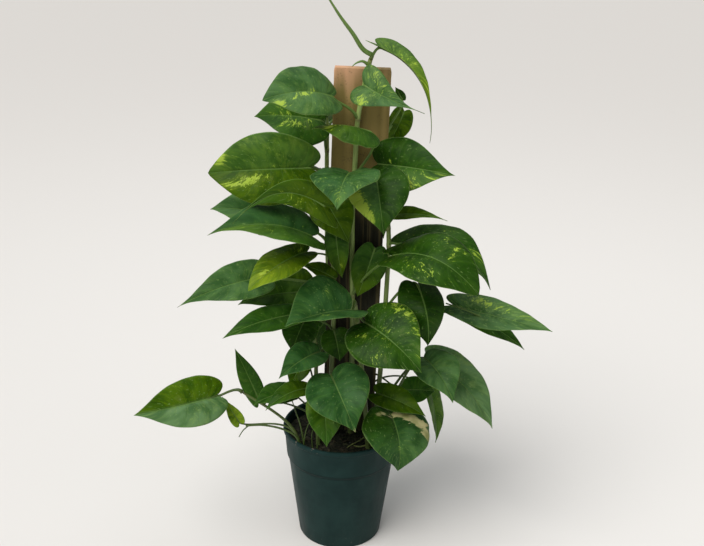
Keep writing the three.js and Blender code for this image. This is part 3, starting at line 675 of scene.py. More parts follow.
STEMS = {
    "vine_middle": {
        "radius": 3.6,
        "route": [[14, -14, 105], [12, -10, 160], [12, -9.4, 300], [9, -9.4, 450], [11, -9.4, 525],
                  [13, -10, 574], [20, -10, 615], [25, -11, 640], [28, -12, 650]],
        "spear": [[28, -12, 650], [18, -14, 656], [5, -20, 675], [-8, -26, 692], [-20, -32, 710],
                  [-31, -40, 728]],
        "twigs": [([[25, -13, 638], [17, -16, 643], [10, -17, 641], [5, -17, 637]],
                   2.4, 0.4, ROLLED_LEAF)],
        "leaves": [
            ([645, [38, -18, 659], [97, -56, 558], [0.77, -0.48, 0.55], 52, 0.2, 0.4, 0, 1.8],
             "fresh>young", (0.14, 0.10), 0.15,
             [(-0.35, 0.3, 0.4, 0.2, 0.6), (0.3, 0.15, 0.3, 0.15, 0.4), (0.2, 0.6, 0.4, 0.2, 0.35)]),
            ([600, [20, -34, 618], [87, -72, 595], [0.55, -1, 0.1], 62, 0.02, 0.1, -0.03, 1.7],
             "blue", (0.10, 0.12), 0.3,
             [(-0.55, 0.1, 0.3, 0.1, 0.8), (-0.1, 0.22, 0.2, 0.12, 0.35), (0.5, 0.05, 0.3, 0.12, 0.5),
              (0.3, 0.3, 0.2, 0.15, 0.35)]),
            ([575, [-17, -36, 605], [-93, -76, 607], [0.15, -1, 1], 60, 0.14, 0.1, 0, -0.35],
             "blue", (0.05, 0.14), 0.15,
             [(-0.05, 0.34, 0.18, 0.07, 0.6), (0.12, 0.48, 0.18, 0.08, 0.75),
              (0.32, 0.64, 0.2, 0.08, 0.6), (0.45, 0.84, 0.26, 0.08, 0.95)]),
            ([500, [28, -44, 567], [-39, -62, 574], [0, 0, 1], 66, 0.08, -0.5],
             "leaf>warm", (0.24, 0.10), 0.1,
             [(-0.3, 0.5, 0.4, 0.3, 0.45), (0.0, 0.72, 0.4, 0.14, 0.7)]),
            ([470, [5, -72, 525], [-8, -134, 500], [-0.15, -0.4, 1], 80, 0.12, 0.1],
             "cool/cool>blue", (0.12, 0.10), 0.3,
             [(-0.05, 0.78, 0.2, 0.2, 0.45), (-0.6, 0.48, 0.12, 0.08, 0.5)]),
            ([492, [35, -57, 521], [45, -97, 460], [0, -1, 0.7], 72, 0.1, 0.1],
             "blue>leaf/deep", (0.12, 0.0), 0.2,
             [(-0.9, 0.25, 0.26, 0.18, 0.78), (-0.78, 0.42, 0.26, 0.15, 0.86),
              (-0.58, 0.58, 0.24, 0.13, 0.9), (-0.36, 0.76, 0.2, 0.13, 0.84)]),
            ([350, [59, -64, 423], [155, -122, 398], [0.4, -0.8, 1], 66, 0.22, 0.1, 0, -0.5],
             "deep", (0.14, 0.12), 0.2,
             [(0.35, 0.62, 0.35, 0.07, 0.45), (-0.1, 0.48, 0.15, 0.07, 0.4),
              (0.82, 0.55, 0.2, 0.3, 0.3), (-0.75, 0.48, 0.22, 0.3, 0.45)]),
            ([385, [37, -15, 413], [17, -19, 351], [0.1, -1, 0.3], 44, 0.06, 0.1],
             "leaf>warm", (0.0, 0.0), 0.1),
        ],
    },
    "vine_left": {
        "radius": 3.4,
        "route": [[-16, -18, 105], [-14, -12, 160], [-14, -9.4, 250], [-12, -9.4, 340], [-14, -9.4, 394],
                  [-22, -9.4, 440], [-26, -10, 470], [-29, -11, 500], [-31, -13, 515]],
        "leaves": [
            ([505, [-43, -34, 520], [-161, -48, 515], [-0.2, -1, 0.35], 74, 0.08, 0.1, 0, -0.35],
             "fresh/warm", (0.12, 0.14), 0.05,
             [(-0.42, 0.87, 0.18, 0.07, 1.25), (0.26, 0.56, 0.16, 0.16, 0.8),
              (0.44, 0.78, 0.14, 0.14, 0.75), (-0.12, 0.34, 0.08, 0.12, 0.5)]),
            ([486, [-24, -76, 486], [-125, -112, 473], [0.1, -1, 0.05], 54, 0.04, 0.1, -0.24, 1.2],
             "warm>leaf", (0.05, 0.20), 0.1, [(-0.1, 0.5, 0.4, 0.25, 0.2)]),
            ([440, [-28, -16, 481], [6, -42, 430], [0.2, -1, 0.4], 54, 0.08, 0.15],
             "warm", (0.10, 0.10), 0.1),
            ([405, [-40, -50, 441], [-157, -92, 454], [0, -0.4, 1], 84, 0.13, 0.15, 0, 0.25],
             "cool/leaf>fresh", (0.08, 0.08), 0.15, [(0.3, 0.55, 0.2, 0.2, 0.25)]),
            ([395, [-46, -40, 417], [-111, -96, 387], [0, -0.5, 1], 41, 0.1, 0.1, 0, -0.35],
             "warm>young", (0.16, 0.26), 0.1,
             [(-0.14, 0.71, 0.16, 0.08, 0.8), (-0.24, 0.06, 0.14, 0.06, 0.6)]),
            ([345, [-102, -30, 379], [-201, -66, 352], [0, -1, 1], 62, 0.1, 0.1, 0, 0.5],
             "blue", (0.0, 0.0), 0.3),
            ([325, [-13, -24, 378], [-53, -30, 397], [0, -0.6, 1], 26, 0.05, 0.2],
             "warm", (0.05, 0.05), 0.1),
            ([300, [-58, -44, 336], [-144, -88, 322], [0, -0.6, 1], 40, 0.08, 0.1],
             "leaf", (0.0, 0.0), 0.1),
            ([394, [-11, -20, 439], [-2, -30, 380], [-0.2, -1, 0.3], 30, 0.08, 0.15],
             "leaf>warm", (0.0, 0.0), 0.1, [(0.2, 0.7, 0.3, 0.12, 0.5)]),
        ],
    },
    "vine_right": {
        "radius": 3.4,
        "twigs": [([[129, -21, 346], [143, -34, 346], [158, -38, 342], [178, -42, 333], [195, -46, 322]],
                   0.9, 1.5, STALK)],
        "route": [[40, -20, 105], [44, -14, 160], [50, -10, 250], [54, -10, 358], [55, -10, 418],
                  [51, -9.6, 470], [47, -9.6, 515], [50, -12, 538]],
        "leaves": [
            ([510, [39, -28, 525], [126, -66, 523], [0, -1, 0.5], 74, 0.06, 0.05, 0, 0.2],
             "leaf/deep>leaf", (0.28, 0.03), 0.15,
             [(0.15, 0.15, 0.07, 0.05, 0.8), (-0.55, 0.45, 0.3, 0.25, 0.42),
              (-0.25, 0.82, 0.3, 0.14, 0.5)]),
            ([440, [60, -30, 463], [121, -58, 466], [0, -0.6, 1], 27, 0.08, 0.15, 0, 0.6],
             "warm", (0.05, 0.05), 0.1),
            ([418, [69, -22, 424], [179, -54, 379], [0.6, -0.5, 1], 76, 0.25, 0.1],
             "deep>leaf", (0.22, 0.18), 0.25, [(0.3, 0.75, 0.25, 0.2, 0.3)]),
            ([330, [91, -42, 377], [105, -68, 308], [0.1, -1, 0.9], 56, 0.3, -0.6],
             "deep", (0.0, 0.0), 0.05),
            ([320, [141, -20, 342], [257, -62, 329], [0.1, -0.5, 1], 54, 0, 0.1],
             "blue", (0.0, 0.12), 0.5,
             [(0.45, 0.42, 0.3, 0.25, 0.42), (0.6, 0.18, 0.3, 0.16, 0.45),
              (0.3, 0.75, 0.3, 0.12, 0.35)]),
        ],
    },
    "vine_front": {
        "radius": 3.4,
        "route": [[36, -50, 110], [35, -44, 160], [28, -33, 230], [20, -25, 300], [16, -24, 335],
                  [14, -26, 350]],
        "leaves": [
            ([345, [8, -66, 352], [-67, -112, 350], [0, -0.3, 1], 90, 0.06, 0.5],
             "cool", (0.0, 0.0), 0.22,
             [(0.4, 0.52, 0.08, 0.05, 1.1), (-0.45, 0.25, 0.12, 0.08, 0.6)]),
            ([320, [28, -80, 342], [94, -128, 301], [0.1, -1, 0.6], 88, 0.1, 0.05, 0.03],
             "deep/deep>leaf", (0.12, 0.14), 0.25,
             [(0.85, 0.14, 0.22, 0.14, 0.4), (0.85, 0.38, 0.2, 0.2, 0.42),
              (0.66, 0.64, 0.18, 0.15, 0.48), (0.32, 0.84, 0.16, 0.12, 0.52),
              (-0.15, 0.36, 0.16, 0.16, 0.4), (-0.55, 0.5, 0.24, 0.14, 0.32),
              (-0.4, 0.15, 0.2, 0.12, 0.35), (0.2, 0.3, 0.16, 0.1, 0.32)]),
            ([250, [-13, -72, 267], [18, -124, 218], [0, -1, 0.8], 80, 0.12, 0.15],
             "cool", (0.0, 0.0), 0.15, [], [(0.0, 1.02, 0.15, 0.09, 1.1)]),
            ([230, [-21, -62, 236], [-17, -96, 180], [0, -1, 0.6], 48, 0.1, 0.25],
             "warm>leaf", (0.0, 0.04), 0.1),
        ],
    },
    "vine_front_right": {
        "radius": 3.2,
        "route": [[52, -40, 110], [52, -37, 160], [52, -33, 200], [52, -32, 222]],
        "leaves": [
            ([205, [112, -16, 266], [194, -60, 191], [0.5, -0.8, 1], 68, 0.13, 0.1],
             "pale", (0.0, 0.0), 0.2, [], [(0.0, 1.02, 0.14, 0.06, 1.0)]),
            ([190, [102, -56, 286], [136, -104, 250], [0.3, -0.8, 0.8], 60, 0.15, 0.2],
             "blue", (0.0, 0.0), 0.15),
            ([170, [61, -62, 212], [73, -104, 153], [0.59, -0.68, 0.48], 98, 0.14, 0.05, 0, -0.2],
             "deep>cool/cool>blue", (0.04, 0.05), 0.2, [(0.0, 0.62, 0.12, 0.08, 0.45)],
             [(-0.3, 0.03, 0.25, 0.05, 1.0), (0.15, 0.06, 0.25, 0.06, 1.3),
              (0.48, 0.13, 0.26, 0.08, 1.5), (0.72, 0.26, 0.22, 0.1, 1.5),
              (0.92, 0.44, 0.18, 0.13, 1.5)]),
            ([214, [45, -40, 227], [107, -68, 211], [0, -0.7, 1], 38, 0.08, 0.2],
             "warm", (0.0, 0.0), 0.1),
        ],
    },
    "vine_low_left": {
        "radius": 3.2,
        "twigs": [([[-46, -44, 140], [-53, -42, 180], [-59, -40, 198], [-64, -40, 215]], 1.3, 0.7, STALK),
                  ([[-50, -50, 140], [-45, -48, 176], [-40, -44, 188]], 1.0, 0.6, STALK),
                  ([[-31, -48, 140], [-30, -44, 168], [-30, -40, 184]], 1.1, 0.7, STALK),
                  ([[-36, -46, 140], [-38, -44, 165], [-37, -40, 172]], 0.9, 0.5, STALK)],
        "route": [[-28, -44, 110], [-30, -36, 160], [-33, -30, 220], [-34, -28, 280], [-35, -28, 300]],
        "leaves": [
            ([290, [-48, -8, 316], [-65, -20, 273], [-0.3, -1, 0.4], 50, 0.08, 0.2],
             "deep", (0.0, 0.0), 0.1),
            ([260, [-30, -52, 289], [-76, -96, 274], [0, -0.6, 1], 44, 0.1, 0.2],
             "cool", (0.0, 0.0), 0.1),
            ([225, [-50, -14, 262], [-67, -30, 228], [-0.2, -1, 0.2], 30, 0.05, 0.2],
             "warm", (0.0, 0.0), 0.1),
            ([180, [-109, -24, 207], [-137, -32, 282], [0, -1, 0.3], 27, -0.05, 0.2],
             "leaf", (0.0, 0.0), 0.1),
            ([185, [-65, -28, 220], [-112, -58, 216], [0, -0.4, 1], 40, 0.1, 0.1],
             "leaf", (0.0, 0.0), 0.1),
            ([262, [-11, -20, 303], [-3, -32, 268], [0.2, -1, 0.4], 42, 0.08, 0.2],
             "deep", (0.0, 0.0), 0.1),
            ([200, [-43, -40, 232], [-95, -72, 217], [0, -0.2, 1], 34, 0.12, 0.2],
             "warm>leaf", (0.0, 0.0), 0.1),
        ],
    },
    "runner_left": {
        "radius": 2.2,
        "twigs": [([[-51, -46, 142], [-58, -50, 167], [-73, -52, 178], [-99, -54, 185], [-122, -58, 186]],
                   1.7, 1.1, STALK),
                  ([[-118, -57, 186], [-125, -61, 181], [-130, -66, 174]], 0.9, 0.6, STALK)],
        "route": [[-50, -36, 118], [-54, -37, 150], [-62, -38, 170], [-74, -40, 186], [-94, -41, 203],
                  [-112, -41, 215], [-129, -41, 226]],
        "leaves": [
            ([225, [-161, -44, 220], [-256, -92, 217], [0, -1, 0.9], 66, 0.05, 0.1, 0.03],
             "warm/pale", (0.10, 0.0), 0.25),
            ([165, [-133, -38, 180], [-155, -30, 212], [0.2, -1, 0.3], 21, -0.05, 0.2, 0, 0.6],
             "young", (0.1, 0.1), 0.1),
        ],
    },
    "vine_back_left": {
        "radius": 3.4,
        "route": [[-12, 30, 105], [-14, 24, 160], [-18, 19.8, 300], [-23, 19.8, 430], [-24, 19, 530],
                  [-24, 19, 570]],
        "leaves": [
            ([530, [-31, 9, 568], [-110, -6, 575], [0, -1.2, 1], 78, 0.08, 0.1],
             "leaf", (0.14, 0.16), 0.15,
             [(0.3, 0.45, 0.2, 0.18, 0.6), (-0.05, 0.6, 0.16, 0.2, 0.5), (0.1, 0.2, 0.3, 0.1, 0.4)]),
            ([410, [-82, 10, 444], [-165, -12, 461], [0, -0.8, 1], 70, 0.08, 0.1],
             "blue", (0.05, 0.08), 0.2),
            ([320, [-56, -4, 350], [-133, -22, 339], [0, -0.6, 1], 46, 0.08, 0.1],
             "fresh", (0.0, 0.0), 0.1),
            ([330, [-47, 30, 347], [-106, 20, 352], [0, -0.5, 1], 50, 0.08, 0.2],
             "warm", (0.10, 0.10), 0.1),
            ([555, [-8, 50, 574], [-34, 114, 538], [-0.1, 1, 0.9], 80, 0.12, 0.2],
             "leaf", (0.30, 0.12), 0.2),
            ([470, [-44, 50, 500], [-126, 92, 476], [-0.4, 1, 1], 88, 0.14, 0.1],
             "deep", (0.10, 0.32), 0.2, [(0.4, 0.5, 0.3, 0.2, 0.3)]),
            ([375, [12, 62, 400], [-1, 118, 309], [-0.2, 1, 0.7], 56, 0.1, 0.2],
             "leaf", (0.12, 0.10), 0.4),
            ([280, [-18, 42, 301], [-56, 68, 217], [-0.3, -1, 0.5], 60, 0.12, 0.15],
             "deep", (0.28, 0.10), 0.2),
            ([210, [-24, 60, 236], [-56, 116, 192], [-0.2, 1, 1], 66, 0.12, 0.2],
             "leaf", (0.08, 0.20), 0.3),
        ],
    },
    "vine_back_right": {
        "radius": 3.4,
        "route": [[34, 32, 105], [34, 25, 160], [34, 19.8, 300], [38, 19.8, 430], [42, 19.8, 520],
                  [46, 21, 555]],
        "leaves": [
            ([540, [70, 44, 574], [52, 36, 533], [0.3, -1, 0.4], 31, 0.08, 0.2],
             "warm", (0.15, 0.15), 0.1),
            ([550, [66, 10, 595], [57, 10, 610], [0, -1, 0.3], 12, 0.05, 0.3],
             "deep", (0.05, 0.05), 0.1),
            ([380, [108, 12, 408], [170, -4, 407], [0, -0.5, 1], 36, 0.06, 0.1],
             "leaf", (0.08, 0.08), 0.1),
            ([290, [153, 14, 320], [235, -12, 280], [0.1, -0.6, 1], 34, 0.08, 0.1],
             "leaf", (0.15, 0.15), 0.3),
            ([220, [83, 6, 209], [125, 14, 204], [0.1, -1, 0.8], 36, 0.08, 0.2],
             "leaf", (0.06, 0.06), 0.1),
            ([200, [119, 34, 198], [131, 22, 120], [1, -0.7, 0.1], 34, 0.06, 0.2],
             "fresh", (0.05, 0.12), 0.15),
            ([490, [59, 48, 505], [118, 84, 480], [0.3, 1, 1], 50, 0.12, 0.2],
             "leaf", (0.20, 0.12), 0.3, [(-0.3, 0.6, 0.3, 0.2, 0.4)]),
            ([425, [31, 62, 452], [53, 126, 382], [0.2, 1, 0.8], 52, 0.12, 0.15],
             "deep", (0.12, 0.30), 0.2),
            ([335, [70, 52, 390], [154, 88, 363], [0.3, 1, 1], 58, 0.14, 0.1],
             "leaf", (0.14, 0.10), 0.5),
            ([245, [39, 60, 283], [78, 112, 231], [0.2, 1, 0.9], 60, 0.1, 0.2],
             "fresh", (0.10, 0.24), 0.2),
        ],
    },
}


def outline_at(share):
    """Places at shares of the way round half of a blade's outline."""
    last = len(HALF_OUTLINE) - 1
    place = share * last
    start = np.minimum(np.floor(place).astype(int), last - 1)
    before, here, there, after = (HALF_OUTLINE[np.clip(start + step, 0, last)] for step in (-1, 0, 1, 2))
    t = (place - start)[:, None]
    return 0.5 * (2 * here + (there - before) * t + (2 * before - 5 * here + 4 * there - after) * t ** 2
                  + (3 * here - before - 3 * there + after) * t ** 3)


def leaf_axes(leaf):
    """A blade's length, and its ways ahead, up and outward."""
    ahead = np.subtract(leaf.tip, leaf.base).astype(float)
    length = np.linalg.norm(ahead)
    ahead /= length
    up = np.asarray(leaf.up, float)
    up = unit(up - ahead * np.dot(up, ahead))
    return length, ahead, up, np.cross(up, ahead)


def blade_places(leaf, row, column):
    """Middle surface of a blade in millimetres, with the side veins and margin worked into it. Rows
    are shares of the way from base to tip, and columns go from 1 at one margin to -1 at the other."""
    length, ahead, up, outward = leaf_axes(leaf)
    half_width, own_phase = leaf.width / 2, leaf.base[0]
    reach, side = np.abs(column), np.sign(column)
    margin = outline_at(row)
    margin_along = margin[:, :1]
    margin_out = margin[:, 1:] * np.maximum(0.02, 1 - margin_along) ** leaf.taper
    midrib = row[:, None] ** ROW_CROWDING
    row = row[:, None]
    along = midrib + (margin_along - midrib) * reach
    out = margin_out * reach
    across = out * side * half_width
    veins = row - 0.06 * reach ** 2

    bow = 4 * along * (1 - along) * length
    ripple = MARGIN_RIPPLE * reach ** 3 * np.sin(10 * along + own_phase + 2 * side) * margin_out
    rise = leaf.arch * bow + half_width * (leaf.fold * out + CUPPING * out * (1 - out) + ripple)

    quilt = -QUILTING * np.cos(math.tau * SIDE_VEINS * veins) * np.sin(math.pi * np.minimum(1, reach))
    crimp = MARGIN_CRIMP * reach ** 5 * np.sin(34 * along + 1.7 * own_phase + side)
    inner = (1 - row) ** 0.3 * np.minimum(1, row * 6)
    rib = -RIB_DEPTH * np.exp(-(across / RIB_HALF_WIDTH) ** 2) * (1 - row) ** 0.6
    curl = -TIP_CURL * np.clip((along - 0.86) / 0.14, 0, 1) ** 2
    rise = rise + min(1.0, leaf.width / FULL_WIDTH) * ((quilt + crimp) * inner + rib + curl)

    places = (leaf.base + along[..., None] * length * ahead
              + (across + leaf.sweep * bow)[..., None] * outward + rise[..., None] * up)
    return places, across, along, veins, out


def halves_at(halves, out_signed):
    """How much yellow-green each point has from its half of the blade, more of it further out."""
    return np.where(out_signed < 0, *halves) * np.clip(0.6 + 0.8 * np.abs(out_signed), 0, 1.2)


def splashes_at(splashes, out_signed, along):
    """How strongly each point of the blade is splashed."""
    level = np.zeros_like(along)
    for centre_out, centre_along, reach_out, reach_along, strength in splashes:
        apart = ((out_signed - centre_out) / reach_out) ** 2 + ((along - centre_along) / reach_along) ** 2
        level = level + strength * np.exp(-1.1 * apart)
    return level


def greens_at(names, out_signed, along):
    """The leaf's own green at each of its points."""
    halves = [[np.array(GREENS[name]) for name in half.split(">")] for half in names.split("/")]
    ahead = np.clip((along - 0.2) / 0.6, 0, 1)[..., None]
    first, second = (half[0] + (half[-1] - half[0]) * ahead for half in (halves[0], halves[-1]))
    side = np.clip(0.5 + 6 * out_signed, 0, 1)[..., None]
    return first + (second - first) * side


def make_blade(leaf, look, seed, finishes):
    row = np.linspace(0, 1, BLADE_ROWS + 1)
    column = np.array([*reversed(HALF_COLUMNS), 0.0, *(-c for c in HALF_COLUMNS)])
    places, across, along, veins, out = blade_places(leaf, row, column)
    sheet, r, c = bent_grid("blade", places)
    out_signed = out * np.sign(column)
    lime = halves_at(look.halves, out_signed) + splashes_at(look.lime, out_signed, along)
    cream = splashes_at(look.cream, out_signed, along)
    greens = greens_at(look.greens, out_signed, along)
    give_attribute(sheet, "leaf_place", veins[r, c] * 100, across[r, c], seed * 7.31)
    give_attribute(sheet, "leaf_share", np.abs(column)[c], row[r], 0.0)
    give_attribute(sheet, "leaf_marks", lime[r, c], cream[r, c], look.flecks)
    give_attribute(sheet, "leaf_green", *greens[r, c].T)
    give_finishes(sheet, finishes)
    body = sheet.vertex_groups.new(name="body")
    edge = np.abs(column)[c] > 0.999
    body.add(np.nonzero(~edge)[0].tolist(), 1.0, "REPLACE")
    body.add(np.nonzero(edge)[0].tolist(), 0.0, "REPLACE")
    edit_all(sheet, merge_doubles)
    apply_modifier(sheet, "SOLIDIFY", thickness=BLADE_THICKNESS * MM, offset=0,
                   material_offset=UNDERSIDE - UPPER_SIDE,
                   vertex_group="body", thickness_vertex_group=EDGE_THICKNESS_SHARE)
    sheet.vertex_groups.clear()
    return sheet


# ---------------------------------------------------------------- stalks, stems and roots

def petiole_route(leaf, node):
    """The stalk leaves the stem upwards and outwards, bows over and comes to the blade from below."""
    _, ahead, up, _ = leaf_axes(leaf)
    base = np.array(leaf.base, float)
    way = base - node
    reach = np.linalg.norm(way)
    start = unit(unit([way[0], way[1], 0]) * 0.5 + np.array([0, 0, 0.85]))
    arrival = unit(0.6 * ahead + 0.8 * up)
    return bezier([node, node + 0.4 * reach * start, base - 0.35 * reach * arrival, base],
                  np.linspace(0, 1, 60))


def make_petiole(leaf, node, seed, finishes):
    """Leaf stalk with a sheath at the stem, a joint under the blade, a groove along its upper side,
    and a thin end that runs on under the blade."""
    length, _, up, _ = leaf_axes(leaf)
    run_on = 17.0
    under_rows = (np.array([2.5, 5, 8, 12, run_on]) / length) ** (1 / ROW_CROWDING)
    beside_rib = np.array([-0.001, 0.001])
    under = blade_places(leaf, np.clip(under_rows, 0, 1), beside_rib)[0].mean(axis=1)
    route = even_route(np.concatenate([petiole_route(leaf, node), under]), 3.2)
    spans = lengths_along(route)
    at = np.linspace(0, spans[-1], len(route))
    stalk = spans[-1] - run_on
    radii = 1.9 - 0.5 * np.clip(at / stalk, 0, 1)
    sheath = 0.9 * np.clip(1 - at / min(16, 0.3 * stalk), 0, 1) ** 1.4
    joint = 0.42 * np.exp(-((at - (stalk - 5)) / 3.4) ** 2)
    radii = np.where(at > stalk, 1.4 - 1.1 * (at - stalk) / run_on, radii + sheath + joint)
    small_leaf = leaf.width < 42
    radii = np.maximum(radii * (0.72 if small_leaf else 1.0), 0.25)
    turns = once_round(10)
    groove = 1 - 0.22 * np.exp(-(np.minimum(turns, math.tau - turns) / 0.55) ** 2)
    brown = np.clip(1 - spans / 9, 0, 1) ** 2 * 0.55
    return make_tube("petiole", route, radii, groove, up, finishes, STALK, 1.8, seed * 3.7, brown)


def stem_point(route, height):
    """The place on a stem's route at a height."""
    above = next((i for i, p in enumerate(route) if p[2] >= height), len(route))
    if above in (0, len(route)):
        return np.array(route[min(above, len(route) - 1)], float)
    low, high = np.array(route[above - 1], float), np.array(route[above], float)
    return low + (high - low) * (height - low[2]) / (high[2] - low[2])


def make_stem(foot_radius, points, node_heights, seed, finishes):
    """Round jointed stem, a little thicker at each node, with fine ribs between them."""
    spacing = 3.0
    route = smooth_route(points, spacing)
    radii = foot_radius * (1 - 0.25 * np.linspace(0, 1, len(route)))
    brown = np.zeros(len(route))
    for node_height in node_heights:
        above = route[:, 2] - node_height
        swelling, pinch = 0.42 * np.exp(-(above / 2.4) ** 2), 0.12 * np.exp(-((above + 5) / 1.6) ** 2)
        radii = radii + swelling - pinch
        brown = np.maximum(brown, 0.75 * np.exp(-((above + 1.5) / 1.9) ** 2))
    to_end = np.linspace(len(route) * spacing, 0, len(route))
    radii = radii * np.clip(to_end / 9, 0.12, 1) ** 0.6
    ribbed = 1 + 0.035 * np.cos(6 * once_round(14))
    return make_tube("stem", route, radii, ribbed, (1, 0, 0), finishes, STEM, 3.4, seed * 5.1, brown)


def make_spear(points, finishes):
    """The newest leaf, still rolled up tight round itself."""
    route = smooth_route(points, 3.0)
    share = np.linspace(0, 1, len(route))
    radii = 2.9 - 2.2 * share ** 1.15
    seam = (once_round(16) + 3.0 * share[:, None]) % math.tau
    rolled = 0.9 + 0.2 * seam / math.tau
    return make_tube("spear", route, radii, rolled, (0, -1, 0), finishes, ROLLED_LEAF, seed=2.0)


def make_strand(name, points, thick, thin, finishes, slot):
    """A thin root, runner or twig along a row of points, tapering from one end to the other."""
    route = smooth_route(points, 2.0)
    radii = np.linspace(thick, thin, len(route))
    return make_tube(name, route, radii, np.ones(8), (0, 0, 1), finishes, slot)


def make_root(node, seed, finishes):
    """A short aerial root that reaches from a node towards the board."""
    length, radius, steps = 6.5, 0.75, 4
    towards_board = 1 if node[1] < BOARD_FOOT[1] else -1
    wander = np.random.default_rng(seed)
    points = [np.array(node, float)]
    heading = unit((0.2, towards_board, -0.35))
    for _ in range(steps):
        heading = unit(heading + wander.normal(0, 0.25, 3))
        points.append(points[-1] + heading * length / steps)
    return make_strand("root", points, radius, 0.35 * radius, finishes, ROOT)


def make_vine(name, stem, order, finishes):
    parts = []
    node_heights = []
    for number, (shape, *look) in enumerate(stem["leaves"]):
        leaf = Leaf(*shape)
        seed = 10 * order + number + 1
        node = stem_point(stem["route"], leaf.height)
        node_heights.append(leaf.height)
        parts.append(make_blade(leaf, Look(*look), seed, finishes))
        parts.append(make_petiole(leaf, node, seed, finishes))
        parts.append(make_root(node, seed, finishes))
    parts.append(make_stem(stem["radius"], stem["route"], node_heights, order, finishes))
    for points, thick, thin, slot in stem.get("twigs", []):
        parts.append(make_strand("twig", points, thick, thin, finishes, slot))
    if "spear" in stem:
        parts.append(make_spear(stem["spear"], finishes))
    vine = join_pieces(parts, name + "_foliage")
    vine.data.shade_smooth()
    finish_piece(vine, name)


# ---------------------------------------------------------------- pot

POT_PROFILE = [
    (0, 0), (50, 0), (51.5, 1.2), (53.5, 1.2), (54.6, 0), (55.4, 0.5), (56, 1.8), (71, 116), (71.5, 117.6),
    (73, 119), (73.3, 120.4), (76, 152.4), (76.5, 153.4), (77.4, 153.8), (78, 154.6), (78, 158.9),
    (77.6, 159.7), (76.9, 160), (75.4, 160), (74.8, 159.6), (74.3, 158.8), (73.8, 153), (71.6, 121),
    (71.3, 119.4), (69.4, 116.4), (54.4, 3.6), (53.6, 3), (0, 3),
]
DRAIN_HOLES = 8
DRAIN_HOLE_RADIUS = 4.5
DRAIN_RING_RADIUS = 42


def make_pot(finish):
    """The profile spun round the pot's axis, with its drain holes punched."""
    outline = bpy.data.meshes.new("pot_outline")
    outline.from_pydata([(r * MM, 0, z * MM) for r, z in POT_PROFILE],
                        [(i, i + 1) for i in range(len(POT_PROFILE) - 1)], [])
    pot = bpy.data.objects.new("pot_shell", outline)
    bpy.context.scene.collection.objects.link(pot)
    edit_all(pot,
             lambda: bpy.ops.mesh.spin(steps=144, angle=math.tau, center=(0, 0, 0), axis=(0, 0, 1)),
             merge_doubles, face_outwards)
    cutters = []
    for hole in range(DRAIN_HOLES):
        turn = (hole + 0.5) / DRAIN_HOLES * math.tau
        place = Vector((DRAIN_RING_RADIUS * math.cos(turn), DRAIN_RING_RADIUS * math.sin(turn), 1.5)) * MM
        deselect()
        bpy.ops.mesh.primitive_cylinder_add(vertices=28, radius=DRAIN_HOLE_RADIUS * MM, depth=20 * MM,
                                            location=place)
        cutters.append(bpy.context.object)
    punch = join_pieces(cutters, "drain_punch")
    apply_modifier(pot, "BOOLEAN", operation="DIFFERENCE", object=punch, solver="EXACT")
    bpy.data.objects.remove(punch)
    give_finishes(pot, [finish])
    smooth_but_crisp(pot, 38)
    finish_piece(pot, "pot")


# ---------------------------------------------------------------- soil

SOIL_TOP = 146
SOIL_CROWN = 6
SOIL_RADIUS = 72.3
SOIL_WALL = [(68.6, 116), (53.6, 3.4), (0, 3.4)]
BARK_CHIPS = 300
FINE_CRUMBS = 320
LOOSE_ROOTS = [
    [[39, -21, 158], [33, -28, 157], [23, -36, 154], [14, -42, 152], [5, -46, 147]],
    [[16, -39, 149], [25, -48, 153], [33, -46, 154], [38, -36, 149]],
]


def soil_height(radius, turn, rough):
    """Top of the potting mix: a low crown, broken up into lumps."""
    crown = SOIL_CROWN * (1 - (radius / 72.5) ** 2)
    lumps = np.sin(0.19 * radius + 3 * turn) * np.cos(5 * turn - 0.11 * radius) + 0.6 * np.sin(7 * turn)
    return SOIL_TOP + crown + 1.1 * lumps * np.minimum(1, radius / 12) + rough


def make_soil_body(dark, chance):
    """The whole of the mix, rough on top and plain where the pot hides it."""
    rings, sectors = 46, 150
    turns = np.linspace(0, math.tau, sectors + 1)
    radii = np.linspace(0, SOIL_RADIUS, rings + 1)
    rough = chance.normal(0, 1, (rings + 1, sectors))
    for _ in range(2):
        rough = (rough + np.roll(rough, 1, 1) + np.roll(rough, 1, 0) + np.roll(rough, -1, 1)) / 4
    rough = np.concatenate([rough, rough[:, :1]], axis=1) * 1.7
    rough[0] = rough[0].mean()
    levels = soil_height(radii[:, None], turns[None, :], rough)
    top = np.stack([radii[:, None] * np.cos(turns), radii[:, None] * np.sin(turns), levels], -1)
    wall = [np.stack([r * np.cos(turns), r * np.sin(turns), np.full_like(turns, z)], -1)
            for r, z in SOIL_WALL]
    body, _, _ = bent_grid("soil_body", np.concatenate([top, np.array(wall)]))
    edit_all(body, merge_doubles, face_outwards)
    give_finishes(body, [dark])
    body.data.shade_smooth()
    return body


